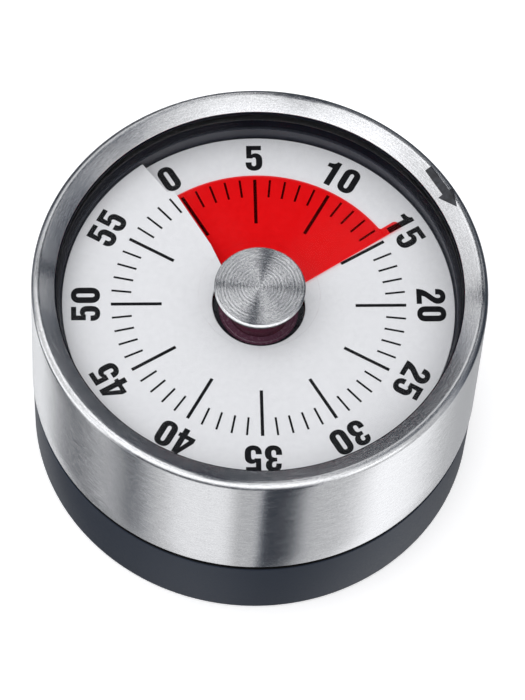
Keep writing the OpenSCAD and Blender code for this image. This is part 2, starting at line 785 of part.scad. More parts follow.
// White dial: a disc cut at 0 and raised into one turn of a screw surface.
module dial_plate() {
    radii = [dial_hole_r, dial_hole_r + slit_taper, film_r + dial_gap, film_r + dial_gap + slit_step, dial_r];
    side = [slit_side_hole, slit_side, slit_side, slit_side_step, slit_side_rim];
    start = [for (i = [0:len(radii) - 1]) -asin(side[i] / radii[i])];
    color("#e4e6ea") helicoid(radii, start, [for (a = start) a + 360], dial_z, dial_t, helix_steps);
}

// Screws that hold the dial carrier on the drum, under the ledge.
module carrier_screws() {
    color("#9a9da1") ring_of(boss_at, boss_dirs) translate([0, 0, floor_top - head_sink]) screw();
}

// ---- Movement frame ----

module plate_holes(z) {
    at(second_at) disc(pivot_r + run_fit, z, plate_t + 2);
    at(third_at) disc(pivot_r + run_fit, z, plate_t + 2);
    at(escape_at) disc(pivot_r + run_fit, z, plate_t + 2);
    at(balance_at) disc(pivot_r + run_fit, z, plate_t + 2);
    ring_of(post_at, pillar_dirs) disc(screw_r + set_fit, z, plate_t + 2);
}

// Front plate, screwed under the dial carrier.
module front_plate() {
    color("#b9bcbf") difference() {
        disc(plate_r, front_z, plate_t);
        disc(main_arbor_r + run_fit, front_z - 1, plate_t + 2);
        plate_holes(front_z - 1);
        at(hammer_staff_at) disc(pivot_r + run_fit, front_z - 1, plate_t + 2);
        ring_of(post_at, mount_dirs) disc(screw_r + set_fit, front_z - 1, plate_t + 2);
    }
}

// Back plate with the bearing of the hammer's staff.
module back_plate() {
    color("#b9bcbf") difference() {
        disc(plate_r, back_z, plate_t);
        disc(main_pivot_r + run_fit, back_z - 1, plate_t + 2);
        plate_holes(back_z - 1);
        at(hammer_staff_at) disc(hammer_staff_r + run_fit, back_z - 1, plate_t + 2);
    }
}

// Pillars with threaded ends through both plates.
module pillars() {
    color("#8d9196") ring_of(post_at, pillar_dirs) {
        disc(pillar_r, back_top, movement_h);
        disc(screw_r, back_z - nut_h, movement_h + 2 * (plate_t + nut_h));
    }
}

// Nuts on the pillars' ends.
module pillar_nuts() {
    color("#a4a7aa") ring_of(post_at, pillar_dirs) {
        nut(nut_r, back_z - nut_h, nut_h);
        nut(nut_r, front_top, nut_h);
    }
}

// Screws that hang the movement under the dial carrier.
module mount_screws() {
    color("#9a9da1") ring_of(post_at, mount_dirs) translate([0, 0, front_z]) mirror([0, 0, 1])
        screw(mount_reach);
}

// Open barrel riveted to the back plate, around the mainspring.
module spring_barrel() {
    color("#a9a28c") difference() {
        disc(barrel_r + barrel_wall, back_top, barrel_h + barrel_z - back_top);
        disc(barrel_r, barrel_z, barrel_h + 1);
        disc(collet_r + pass_gap, back_top - 1, barrel_h);
    }
}

// Mainspring: a flat spiral strip from the collet to the barrel's wall.
module mainspring() {
    r0 = collet_r + set_fit;
    r1 = barrel_r - set_fit - spring_t;
    turn = 24;
    n = turn * spring_turns;
    grow = (r1 - r0) / n;
    inner = [for (i = [0:n]) polar(r0 + grow * i, 360 / turn * i)];
    outer = [for (i = [n:-1:0]) polar(r0 + grow * i + spring_t, 360 / turn * i)];
    color("#5d6670") translate([0, 0, spring_z]) linear_extrude(height = spring_h)
        polygon(concat(inner, outer));
}

// ---- Bell ----

// Steel bell, open downwards.
module bell() {
    c = [bell_r - bell_dome, bell_top - bell_dome];
    color("#b3b6b9") rotate_extrude() polygon(concat(
        [[screw_r + set_fit, bell_top - bell_wall], [screw_r + set_fit, bell_top]],
        arc(c, bell_dome, 90, 0, 8),
        [[bell_r, bell_z], [bell_r - bell_wall, bell_z]],
        arc(c, bell_dome - bell_wall, 0, 90, 8)));
}

// Post brazed to the back plate, with a thread that carries the bell.
module bell_post() {
    thread_l = bell_wall + bell_nut_h + thread_over;
    color("#8d9196") union() {
        disc(bell_post_r, bell_top, back_z - bell_top);
        disc(post_foot_r, back_z - post_foot_t, post_foot_t);
        disc(screw_r, bell_top - thread_l, thread_l + EPS);
    }
}

// Nut under the bell.
module bell_nut() {
    color("#a4a7aa") nut(bell_nut_r, bell_top - bell_wall - bell_nut_h, bell_nut_h);
}

// ---- Going train ----

module train_arbor(p) {
    color("#8d9196") at(p) arbor(arbor_r, back_top + end_shake, front_z - end_shake);
}

module second_arbor() {
    train_arbor(second_at);
}

module second_pinion() {
    color("#7d8186") at(second_at) pinion(main_module, second_dir + 180 + 180 / pinion_teeth, main_z);
}

module second_wheel() {
    color("#b8963e") at(second_at) toothed_wheel(second_module, second_teeth,
        heading(second_at, third_at), second_z, arbor_r);
}

module third_arbor() {
    train_arbor(third_at);
}

module third_pinion() {
    color("#7d8186") at(third_at) pinion(second_module,
        heading(third_at, second_at) + 180 / pinion_teeth, second_z);
}

module third_wheel() {
    color("#b8963e") at(third_at) toothed_wheel(third_module, third_teeth,
        heading(third_at, escape_at), third_z, arbor_r);
}

module escape_arbor() {
    train_arbor(escape_at);
}

module escape_pinion() {
    color("#7d8186") at(escape_at) pinion(third_module,
        heading(escape_at, third_at) + 180 / pinion_teeth, third_z);
}

// Escape wheel with pointed teeth that lean back.
module escape_wheel() {
    step = 360 / escape_teeth;
    color("#b8963e") at(escape_at) translate([0, 0, escape_z]) linear_extrude(height = wheel_t) difference() {
        polygon([for (k = [0:escape_teeth - 1]) each [polar(escape_r - escape_tooth, step * k),
            polar(escape_r, step * (k + 0.55)), polar(escape_r, step * (k + 0.65)),
            polar(escape_r - escape_tooth, step * (k + 0.75))]]);
        circle(r = arbor_r);
    }
}

module balance_staff() {
    train_arbor(balance_at);
}

// Balance: a rim on two arms.
module balance_wheel() {
    inner_r = balance_r - balance_rim;
    color("#a4a7aa") at(balance_at) translate([0, 0, balance_z]) linear_extrude(height = balance_t)
    difference() {
        union() {
            difference() {
                circle(r = balance_r);
                circle(r = inner_r);
            }
            square([2 * inner_r + balance_rim, balance_rim], center = true);
            circle(r = arbor_r + balance_hub);
        }
        circle(r = arbor_r);
    }
}

// Pallet anchor: two arms that straddle the escape wheel, clear of its teeth.
module pallet_anchor() {
    toward = heading(balance_at, escape_at);
    color("#8d9196") translate([0, 0, escape_z]) linear_extrude(height = wheel_t) difference() {
        union() {
            at(balance_at) circle(r = arbor_r + balance_hub);
            for (side = [-1, 1]) at(balance_at) rotate(toward + side * pallet_spread)
                translate([0, -pallet_w / 2]) square([pallet_l, pallet_w]);
        }
        at(escape_at) circle(r = escape_r + pallet_gap);
        at(balance_at) circle(r = arbor_r);
    }
}

// ---- Hammer ----

// Staff through both plates and down to the arm.
module hammer_staff() {
    top = front_z - end_shake;
    color("#8d9196") at(hammer_staff_at) union() {
        disc(hammer_staff_r, hammer_low, top - hammer_low);
        disc(pivot_r, top - EPS, pivot_l + EPS);
    }
}

// Arm from the staff to the head.
module hammer_arm() {
    color("#9a9da1") translate([0, 0, hammer_arm_z]) linear_extrude(height = hammer_arm_t) difference() {
        union() {
            at(hammer_staff_at) circle(r = hammer_staff_r + hammer_hub);
            at(hammer_staff_at) rotate(heading(hammer_staff_at, head_at))
                translate([0, -hammer_arm_w / 2]) square([hammer_len - hammer_r / 2, hammer_arm_w]);
        }
        at(hammer_staff_at) circle(r = hammer_staff_r);
        at(head_at) circle(r = hammer_r);
    }
}

// Head that strikes the bell's rim.
module hammer_head() {
    color("#b8963e") at(head_at) disc(hammer_r, hammer_arm_z + hammer_arm_t / 2 - hammer_h / 2, hammer_h);
}

// Tail that rides on the cam above the main wheel.
module hammer_tail() {
    reach = hammer_at - cam_r - pass_gap;
    color("#9a9da1") translate([0, 0, cam_z]) linear_extrude(height = cam_t) difference() {
        at(hammer_staff_at) union() {
            circle(r = hammer_staff_r + hammer_hub);
            rotate(hammer_dir + 180) translate([0, -hammer_tail_w / 2]) square([reach, hammer_tail_w]);
        }
        at(hammer_staff_at) circle(r = hammer_staff_r);
    }
}

// Coil spring around the hammer's staff, above the back plate.
module hammer_spring() {
    color("#6f7377") at(hammer_staff_at)
        tube(coil_r, coil_r - coil_wire, back_top + set_fit, coil_h);
}

steel_ring();
bezel_liner();
lens_gasket();
lens();
knob_cap();
knob_collar();
main_arbor();
spring_collet();
main_wheel();
clutch_spring();
release_cam();
red_film();
film_hub();
base_housing();
glide_ring();
base_cover();
cover_screws();
foot_ring();
magnet();
magnet_cup();
dial_carrier();
dial_plate();
carrier_screws();
front_plate();
back_plate();
pillars();
pillar_nuts();
mount_screws();
spring_barrel();
mainspring();
bell();
bell_post();
bell_nut();
second_arbor();
second_pinion();
second_wheel();
third_arbor();
third_pinion();
third_wheel();
escape_arbor();
escape_pinion();
escape_wheel();
balance_staff();
balance_wheel();
pallet_anchor();
hammer_staff();
hammer_arm();
hammer_head();
hammer_tail();
hammer_spring();
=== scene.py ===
"""Looks of a sixty-minute clockwork timer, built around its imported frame.

Lengths are written in millimetres; MM turns them into metres where a mesh is made.
Clock angles are degrees clockwise from the 0 mark, which lies towards +Y.
"""
import math

import bmesh
import bpy
from mathutils import Matrix, Vector
from mathutils.geometry import tessellate_polygon

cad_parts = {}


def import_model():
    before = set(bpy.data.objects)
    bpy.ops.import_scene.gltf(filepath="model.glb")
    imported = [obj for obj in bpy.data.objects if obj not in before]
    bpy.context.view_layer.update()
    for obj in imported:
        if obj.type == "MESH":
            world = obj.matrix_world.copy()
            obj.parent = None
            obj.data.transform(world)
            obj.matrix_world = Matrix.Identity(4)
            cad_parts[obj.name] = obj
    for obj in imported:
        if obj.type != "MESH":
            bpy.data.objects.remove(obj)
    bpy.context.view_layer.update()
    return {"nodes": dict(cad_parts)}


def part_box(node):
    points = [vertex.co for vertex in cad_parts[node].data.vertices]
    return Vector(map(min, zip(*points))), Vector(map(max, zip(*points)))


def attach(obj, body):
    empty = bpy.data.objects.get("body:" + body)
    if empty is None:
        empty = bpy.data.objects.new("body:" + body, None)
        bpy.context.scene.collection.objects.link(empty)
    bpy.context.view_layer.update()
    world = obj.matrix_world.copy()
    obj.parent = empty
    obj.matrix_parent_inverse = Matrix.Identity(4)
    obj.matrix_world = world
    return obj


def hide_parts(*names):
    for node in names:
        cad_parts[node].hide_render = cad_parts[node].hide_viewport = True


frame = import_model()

MM = 0.001
NODES = frame["nodes"]


def low(node):
    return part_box(node)[0] / MM


def high(node):
    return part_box(node)[1] / MM


# ---- Sizes. What the frame's boxes say comes from them; the rest repeats the part's own values ----

SEGMENTS = 288                      # steps round a turned piece
SHARP = math.radians(28)            # edges bent more than this stay crisp
FIT = 0.05                          # gap on each side of a piece that is set into another
EASED = 0.1                         # rounding of a small moulded edge
SOFT = 0.15                         # rounding of a larger one

RING_R = high("steel_ring").x
RING_TOP = high("steel_ring").z
SHELL_Z = low("steel_ring").z
RING_WALL = 0.6
RING_DRAFT = 0.25
LIP_W = 4.0
LIP_ROUND = 1.1
LIP_SLOPE = math.radians(26)
LIP_EDGE_ROUND = 0.16
HEM_H = 1.0                         # height of the shell's rounded lower end
HEM_ROUND = 0.2
HEM_LEAN = 0.008                    # the draft's share of the hem
LIP_ZC = RING_TOP - LIP_ROUND
LIP_RC = RING_R - LIP_ROUND
LIP_JOIN_R = LIP_RC - LIP_ROUND * math.sin(LIP_SLOPE)
LIP_JOIN_Z = LIP_ZC + LIP_ROUND * math.cos(LIP_SLOPE)
OPEN_R = RING_R - LIP_W
LIP_EDGE_Z = LIP_JOIN_Z - (LIP_JOIN_R - OPEN_R) * math.tan(LIP_SLOPE)

LINER_R = high("bezel_liner").x
LINER_Z = low("bezel_liner").z
GASKET_Z = low("lens_gasket").z
GASKET_R = high("lens_gasket").x
LINER_RIM_R = OPEN_R - 0.35
LINER_FLANGE_R = 34.15
LINER_WALL = 0.9
LINER_LAND = 1.45
LAND_H = 2.8
FLANGE_T = 1.0
FLANGE_Z = GASKET_Z - 1.5

LENS_R = high("lens").x
LENS_TOP = high("lens").z
LENS_Z = high("lens_gasket").z
LENS_HUB_Z = low("lens").z
LENS_BOSS_R = 10.4
LENS_BOSS_T = 0.4
LENS_HUB_R = 4.4
LENS_BORE_R = 2.05
DARK_RING_W = 0.22
DARK_RING_DROP = 0.12                    # from the lip's edge down to the dark ring's top

KNOB_R = high("knob_cap").x
KNOB_TOP = high("knob_cap").z
KNOB_Z = high("knob_collar").z
KNOB_PIN_Z = low("knob_cap").z
KNOB_PIN_R = 1.2
KNOB_BEVEL = 0.25
KNOB_RINGS = 13
RING_DEPTH = 0.009
COLLAR_R = high("knob_collar").x
COLLAR_Z = low("knob_collar").z

BASE_TOP_R = high("base_housing").x
BASE_Z = low("base_housing").z
BASE_H = low("glide_ring").z
BASE_WALL = 1.8
BASE_FOOT_R = high("base_cover").x + FIT + BASE_WALL
BASE_EDGE = 0.4
BASE_TOP_EDGE = 0.15
GLIDE_FLANGE_T = 0.5
DRUM_TOP = high("base_housing").z
DRUM_R = high("dial_carrier").x
DRUM_WALL = 2.2
COVER_TOP = high("base_cover").z
BOSS_R = 2.4
BOSS_SINK = 0.2                     # how far a boss reaches into the drum's wall
BOSS_AT = DRUM_R - DRUM_WALL + BOSS_SINK - BOSS_R
BOSS_DIRS = (60, 180, 300)
BOSS_BORE_R = 1.05
BOSS_SEGMENTS = 48
SCREW_L = 5.0
FOOT_RING_W = 1.4
FOOT_ROUND = 0.25

DIAL_Z = LIP_EDGE_Z - 7.0
DIAL_PITCH = 2.13
DIAL_T = 0.5
DIAL_R = high("dial_plate").x
DIAL_HOLE_R = 8.0
# The dial's cut edge at 0: radius, and how far the edge lies before the 0 mark
SLIT = ((DIAL_HOLE_R, 2.0), (14.0, 1.2), (26.1, 1.2), (26.8, 2.3), (DIAL_R, 3.17))
DIAL_EDGE = 0.12                    # rounding of the dial's rim

FILM_R = 26.0
FILM_IN_R = 5.25
FILM_T = 0.2
FILM_Z = DIAL_Z + 0.15 + FILM_T
FILM_SPAN = 357.0
SHOWN = 90.0                        # clock angle of the film's leading edge
LEAD_SKEW = 0.045                   # how far the leading edge leans from a radius, per mm
LEAD_CROSS_R = 11.0                 # where it crosses that radius
TAB_R = 29.4
TAB_W = 1.55
TAB_ROUND = 0.8
TAB_ROOT = 0.35                     # fillet where the tab leaves the film

PRINT_T = 0.03                      # how far print stands over what it is on
PRINT_SINK = 0.01                   # how deep its underside lies in it
TICK_OUT = 25.34
TICK_MINOR_IN = 21.92
TICK_MAJOR_IN = 16.64
TICK_MINOR_W = 0.36
TICK_MAJOR_W = 0.56
NUMERAL_R = 29.66                   # middle of the numerals' band
NUMERAL_STEP = 3.46                 # from one digit's middle to the next
ARROW_AT = 89.2                     # clock angle of the arrow's middle
ARROW_R = 37.15
ARROW_L = 8.9
SHAFT_W = 1.3
HEAD_L = 3.45
HEAD_W = 3.0
TIP_W = 0.06


def srgb(r, g, b):
    """A colour as it should look on screen, 0 to 255, as the linear values that shaders take."""
    def linear(c):
        c /= 255
        return c / 12.92 if c <= 0.04045 else ((c + 0.055) / 1.055) ** 2.4
    return (linear(r), linear(g), linear(b))


# ---- Materials ----

CONE_MARKS = -2.5                   # how much faster lathe marks follow a radius than a height
SPECKLE_SCALE = 4200.0
WINDOW_IOR = 1.14
WINDOW_MIRROR = 0.2                 # most that the window mirrors, at a grazing look
FILM_BODY = 0.012                   # share of light that the film's own red gives back


class Shader:
    """One material's node tree around its Principled shader."""

    def __init__(self, name, colour, roughness, metallic=0.0, **sockets):
        self.material = bpy.data.materials.new(name)
        self.material.use_nodes = True
        self.tree = self.material.node_tree
        self.main = self.tree.nodes["Principled BSDF"]
        self.output = self.tree.nodes["Material Output"]
        self.main.inputs["Base Color"].default_value = (*colour, 1)
        self.main.inputs["Roughness"].default_value = roughness
        self.main.inputs["Metallic"].default_value = metallic
        for socket, value in sockets.items():
            self.main.inputs[socket.replace("_", " ")].default_value = value

    def node(self, kind, props=None, **inputs):
        """Adds a node; an input given as a socket is linked, and as a value is set."""
        made = self.tree.nodes.new(kind)
        for key, value in (props or {}).items():
            setattr(made, key, value)
        for key, value in inputs.items():
            key = int(key[1:]) if key[0] == "i" and key[1:].isdigit() else key.replace("_", " ")
            if isinstance(value, bpy.types.NodeSocket):
                self.tree.links.new(value, made.inputs[key])
            else:
                made.inputs[key].default_value = value
        return made

    def calc(self, operation, *values):
        """The result of a math node."""
        inputs = {f"i{k}": value for k, value in enumerate(values)}
        return self.node("ShaderNodeMath", {"operation": operation}, **inputs).outputs[0]

    def vector(self, operation, *values, **named):
        """The result of a vector math node."""
        inputs = {f"i{k}": value for k, value in enumerate(values)}
        made = self.node("ShaderNodeVectorMath", {"operation": operation}, **inputs, **named)
        return made.outputs["Value" if operation in ("DOT_PRODUCT", "LENGTH") else "Vector"]

    def link(self, source, target):
        self.tree.links.new(source, target)

    def place(self):
        return self.node("ShaderNodeTexCoord").outputs["Object"]

    def lathe_marks(self, along, across):
        """Coordinates that run slowly round the axis and quickly across the lathe's marks."""
        place = self.place()
        flat = self.vector("MULTIPLY", place, (1, 1, 0))
        slow = self.vector("SCALE", self.vector("NORMALIZE", flat), Scale=along)
        height = self.node("ShaderNodeSeparateXYZ", i0=place).outputs[2]
        profile = self.calc("MULTIPLY_ADD", self.vector("LENGTH", flat), CONE_MARKS, height)
        rise = self.node("ShaderNodeCombineXYZ", i2=self.calc("MULTIPLY", profile, across))
        return self.vector("ADD", slow, rise.outputs[0])

    def noise(self, vector, scale, detail=4.0, roughness=0.55):
        return self.node("ShaderNodeTexNoise", Vector=vector, Scale=scale, Detail=detail,
                         Roughness=roughness).outputs["Fac"]

    def ramp(self, value, stops):
        """stops are (place, grey or colour) pairs."""
        made = self.node("ShaderNodeValToRGB", i0=value)
        elements = made.color_ramp.elements
        while len(elements) < len(stops):
            elements.new(0.5)
        for element, (at, colour) in zip(elements, stops):
            element.position = at
            element.color = (*colour, 1) if isinstance(colour, tuple) else (colour, colour, colour, 1)
        return made.outputs["Color"]

    def spread(self, value, lowest, highest, start=0.3, end=0.7):
        return self.node("ShaderNodeMapRange", Value=value, From_Min=start, From_Max=end,
                         To_Min=lowest, To_Max=highest).outputs[0]

    def fade(self, value, start, end, first, last):
        """first up to start and last from end on, with a soft change between."""
        return self.node("ShaderNodeMapRange", {"interpolation_type": "SMOOTHSTEP"}, Value=value,
                         From_Min=start, From_Max=end, To_Min=first, To_Max=last).outputs[0]

    def bump(self, height, distance):
        made = self.node("ShaderNodeBump", Height=height, Distance=distance, Strength=1.0)
        self.link(made.outputs[0], self.main.inputs["Normal"])

    def grained(self, scale, colours, roughness, bump, detail=5.0):
        """Fine all-over grain in colour, roughness and relief."""
        grain = self.noise(self.place(), scale, detail)
        colour = self.ramp(grain, ((0.35, colours[0]), (0.65, colours[1])))
        self.link(colour, self.main.inputs["Base Color"])
        self.link(self.spread(grain, *roughness), self.main.inputs["Roughness"])
        self.bump(grain, bump)
        return self


def brushed(name, colours, roughness, along, across, relief, anisotropic=0.0, speckle=0.0):
    """Metal with fine marks round its axis, and a fine speckle where one is wanted."""
    made = Shader(name, colours[0], roughness[0], 1.0, Anisotropic=anisotropic, Anisotropic_Rotation=0.25)
    marks = made.noise(made.lathe_marks(along, across), 1.0, 4.0, 0.7)
    made.bump(marks, relief)
    if speckle:
        dots = made.calc("SUBTRACT", made.noise(made.place(), SPECKLE_SCALE, 2.0), 0.5)
        marks = made.calc("MULTIPLY_ADD", dots, speckle, marks)
    made.link(made.ramp(marks, ((0.3, colours[0]), (0.7, colours[1]))), made.main.inputs["Base Color"])
    made.link(made.spread(marks, *roughness), made.main.inputs["Roughness"])
    if anisotropic:
        tangent = made.node("ShaderNodeTangent", {"direction_type": "RADIAL", "axis": "Z"})
        made.link(tangent.outputs[0], made.main.inputs["Tangent"])
    return made.material


def milled(name, colours, roughness, scale=900.0):
    """Plain machined metal with a fine grain."""
    return Shader(name, colours[0], roughness[0], 1.0).grained(scale, colours, roughness, 0.000004).material


def moulded(name, colours, roughness, scale=1800.0, relief=0.000006, **sockets):
    """Plastic or rubber with the fine grain of its mould."""
    made = Shader(name, colours[0], roughness[0], **sockets)
    return made.grained(scale, colours, roughness, relief).material


def clear_window():
    """Clear plastic: see-through, with a weak mirror on each face."""
    made = Shader("clear_window", srgb(240, 246, 250), 0.03)
    see = made.node("ShaderNodeBsdfTransparent", Color=(0.985, 0.99, 0.995, 1))
    haze = made.spread(made.noise(made.place(), 60.0), 0.02, 0.05)
    gloss = made.node("ShaderNodeBsdfAnisotropic", Color=(1, 1, 1, 1), Roughness=haze)
    fresnel = made.node("ShaderNodeFresnel", IOR=WINDOW_IOR)
    share = made.calc("MINIMUM", fresnel.outputs[0], WINDOW_MIRROR)
    mixed = made.node("ShaderNodeMixShader", i0=share, i1=see.outputs[0], i2=gloss.outputs[0])
    made.link(mixed.outputs[0], made.output.inputs["Surface"])
    made.tree.nodes.remove(made.main)
    return made.material


def red_film():
    """Thin clear red sheet: what lies under it shows through, coloured."""
    made = Shader("red_film", (0.95, 0.008, 0.012), 0.4, Specular_IOR_Level=0.2)
    grain = made.noise(made.place(), 700.0)
    tint = made.ramp(grain, ((0.3, (0.99, 0.28, 0.3)), (0.7, (0.996, 0.3, 0.32))))
    see = made.node("ShaderNodeBsdfTransparent", Color=tint)
    made.link(made.ramp(grain, ((0.3, (0.9, 0.006, 0.01)), (0.7, (0.98, 0.01, 0.013)))),
              made.main.inputs["Base Color"])
    mixed = made.node("ShaderNodeMixShader", i0=FILM_BODY, i1=see.outputs[0], i2=made.main.outputs[0])
    made.link(mixed.outputs[0], made.output.inputs["Surface"])
    return made.material


STEEL = brushed("steel_shell", ((0.66, 0.66, 0.67), (0.9, 0.9, 0.905)), (0.155, 0.225), 20.0, 3600.0,
                0.000008, 1.0, 0.9)
SPUN = brushed("spun_knob", ((0.74, 0.74, 0.75), (1.0, 1.0, 1.0)), (0.16, 0.22), 6.0, 1700.0,
               0.00001, 1.0, 0.7)
GROUND = brushed("ground_steel", ((0.42, 0.42, 0.44), (0.56, 0.56, 0.58)), (0.25, 0.4), 2.0, 6000.0, 0.000004)
BRASS = milled("brass", (srgb(176, 138, 62), srgb(206, 168, 88)), (0.28, 0.42))
SPRING = milled("spring_steel", (srgb(88, 98, 110), srgb(112, 122, 134)), (0.25, 0.38), 2500.0)
PLATED = milled("plated_steel", (srgb(168, 170, 174), srgb(190, 192, 196)), (0.22, 0.34), 1500.0)
PLATE = milled("plate_steel", (srgb(176, 179, 182), srgb(198, 200, 203)), (0.3, 0.45), 1200.0)
NICKEL = brushed("bell_nickel", ((0.6, 0.61, 0.62), (0.72, 0.73, 0.74)), (0.12, 0.2), 3.0, 4000.0, 0.000002)
MAGNET = milled("magnet_grey", (srgb(84, 87, 91), srgb(104, 107, 111)), (0.3, 0.45))
LINER = moulded("black_liner", (srgb(5, 6, 14), srgb(10, 11, 21)), (0.45, 0.6), Specular_IOR_Level=0.1,
               Specular_Tint=(0.7, 0.8, 1, 1))
GLIDE = moulded("glide_black", (srgb(3, 3, 5), srgb(7, 7, 10)), (0.5, 0.65), Specular_IOR_Level=0.06)
SEAL = moulded("seal_rubber", (srgb(14, 15, 17), srgb(20, 21, 23)), (0.6, 0.8))
COLLAR = moulded("dark_collar", (srgb(22, 20, 28), srgb(32, 29, 38)), (0.25, 0.35))
# The film's dark red around the hub, lifted to purple-grey by painted reflection
ROOT = moulded("film_root", (srgb(98, 60, 78), srgb(110, 70, 88)), (0.2, 0.3))
# The hub's own dark red, with a painted purple reflection in it
HUB = moulded("dark_hub", (srgb(88, 40, 58), srgb(104, 52, 72)), (0.3, 0.42))
SLATE = moulded("base_plastic", (srgb(34, 40, 51), srgb(41, 47, 59)), (0.45, 0.55), 2600.0, 0.00001,
                Specular_IOR_Level=0.25, Specular_Tint=(0.7, 0.82, 1, 1))
COVER = moulded("cover_plastic", (srgb(42, 46, 54), srgb(50, 54, 63)), (0.5, 0.62), 2200.0, 0.00001)
CARRIER = moulded("carrier_plastic", (srgb(44, 46, 54), srgb(56, 58, 68)), (0.35, 0.5))
WHITE = moulded("dial_white", (srgb(226, 226, 228), srgb(231, 231, 233)), (0.38, 0.46), 1200.0, 0.000001)
RUBBER = moulded("foot_rubber", (srgb(24, 25, 28), srgb(32, 33, 36)), (0.7, 0.85), 1500.0, 0.00002)
PRINT = moulded("print_black", (srgb(8, 8, 11), srgb(15, 15, 19)), (0.45, 0.55), 2500.0, 0.000001,
                Specular_IOR_Level=0.2)
ARROW_PRINT = moulded("arrow_black", (srgb(26, 26, 30), srgb(52, 54, 60)), (0.35, 0.5), 1400.0, 0.000002)
WINDOW = clear_window()
FILM = red_film()


# ---- Mesh helpers. Outlines and places are in millimetres ----

def spot(r, clock, z):
    a = math.radians(clock)
    return Vector((r * math.sin(a), r * math.cos(a), z))


def piece(name, points, faces, material, body, slot, replaces=(), smooth=True):
    """A mesh piece that rides on a body and may stand for CAD nodes."""
    mesh = bpy.data.meshes.new(name)
    mesh.from_pydata([p * MM for p in points], [], faces)
    work = bmesh.new()
    work.from_mesh(mesh)
    bmesh.ops.recalc_face_normals(work, faces=work.faces)
    work.to_mesh(mesh)
    work.free()
    mesh.materials.append(material)
    made = bpy.data.objects.new(name, mesh)
    bpy.context.scene.collection.objects.link(made)
    if smooth:
        shade(mesh)
    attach(made, body)
    if replaces:
        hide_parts(*replaces)
    return made


def shade(mesh):
    mesh.shade_smooth()
    mesh.set_sharp_from_angle(angle=SHARP)


def rounded(corners, steps=5):
    """A closed outline from (x, y, radius) corners, each rounded by its own radius."""
    out = []
    for i, (x, y, radius) in enumerate(corners):
        here = Vector((x, y))
        if not radius:
            out.append(here)
            continue
        before = (Vector(corners[i - 1][:2]) - here).normalized()
        after = (Vector(corners[(i + 1) % len(corners)][:2]) - here).normalized()
        half = before.angle(after) / 2
        centre = here + (before + after).normalized() * (radius / math.sin(half))
        start = here + before * (radius / math.tan(half)) - centre
        turn = start.angle_signed(here + after * (radius / math.tan(half)) - centre)
        out += [centre + Matrix.Rotation(-turn * k / steps, 2) @ start for k in range(steps + 1)]
    return out


def turned(outline, segments=SEGMENTS, middle=(0, 0)):
    """Points and faces of an outline turned round the axis, or round middle. Outline points are (r, z)."""
    points, rings = [], []
    for r, z in outline:
        if r < 1e-6:
            rings.append([len(points)] * segments)
            points.append(Vector((*middle, z)))
        else:
            rings.append(list(range(len(points), len(points) + segments)))
            points += [spot(r, 360 * k / segments, z) + Vector((*middle, 0)) for k in range(segments)]
    faces = []
    for i, ring in enumerate(rings):
        following = rings[(i + 1) % len(rings)]
        for k in range(segments):
            n = (k + 1) % segments
            corners = list(dict.fromkeys((ring[k], ring[n], following[n], following[k])))
            if len(corners) > 2:
                faces.append(corners)
    return points, faces


def lathe(name, outline, *rest, **more):
    return piece(name, *turned(outline), *rest, **more)


def joined(*shells):
    """Several shells' points and faces as one list of each."""
    points, faces = [], []
    for some_points, some_faces in shells:
        faces += [[c + len(points) for c in face] for face in some_faces]
        points += some_points
    return points, faces


def slab_faces(rows, columns):
    """Faces of a slab whose points are a top grid of rows by columns, then the same grid below."""
    below = rows * columns
    faces = []
    for i in range(rows - 1):
        for j in range(columns - 1):
            c = i * columns + j
            faces.append((c, c + columns, c + columns + 1, c + 1))
            faces.append((below + c, below + c + 1, below + c + columns + 1, below + c + columns))
        for c in (i * columns, i * columns + columns - 1):
            faces.append((c, c + columns, below + c + columns, below + c))
    for start in (0, (rows - 1) * columns):
        for c in range(start, start + columns - 1):
            faces.append((c, c + 1, below + c + 1, below + c))
    return faces


def screw_sheet(stations, starts, ends, top_z, thickness, steps):
    """A sheet that climbs like a screw. stations are (r, drop): drop lowers the top there."""
    points = []
    for under in (False, True):
        for i in range(steps + 1):
            for (r, drop), a0, a1 in zip(stations, starts, ends):
                a = a0 + (a1 - a0) * i / steps
                z = top_z + DIAL_PITCH * a / 360
                points.append(spot(r, a, z - thickness if under else z - drop))
    return points, slab_faces(steps + 1, len(stations))


def printed(outlines, place):
    """A thin slab from flat outlines, the first with the others as holes. place(u, v, up) sets it down."""
    flat = [[Vector((p[0], p[1], 0)) for p in outline] for outline in outlines]
    spots = [p for outline in flat for p in outline]
    count = len(spots)
    points = [place(p.x, p.y, up) for up in (PRINT_T, -PRINT_SINK) for p in spots]
    faces = []
    for a, b, c in tessellate_polygon(flat):
        faces += [(a, b, c), (count + a, count + c, count + b)]
    first = 0
    for outline in flat:
        m = len(outline)
        for k in range(m):
            a, b = first + k, first + (k + 1) % m
            faces.append((a, b, count + b, count + a))
        first += m
    return points, faces


# ---- The grip: everything that turns with the steel ring ----

def lip_z(r):
    """Height of the lip's outside at radius r: the cone, then its rounding."""
    if r < LIP_JOIN_R:
        return LIP_EDGE_Z + (r - OPEN_R) * math.tan(LIP_SLOPE)
    return LIP_ZC + math.sqrt(max(0.0, LIP_ROUND ** 2 - (r - LIP_RC) ** 2))


def arc(r, z, radius, start, end, steps):
    """Outline points (r, z) on an arc; angles in degrees from the outward direction, upwards."""
    turns = [math.radians(start + (end - start) * k / steps) for k in range(steps + 1)]
    return [Vector((r + radius * math.cos(t), z + radius * math.sin(t))) for t in turns]


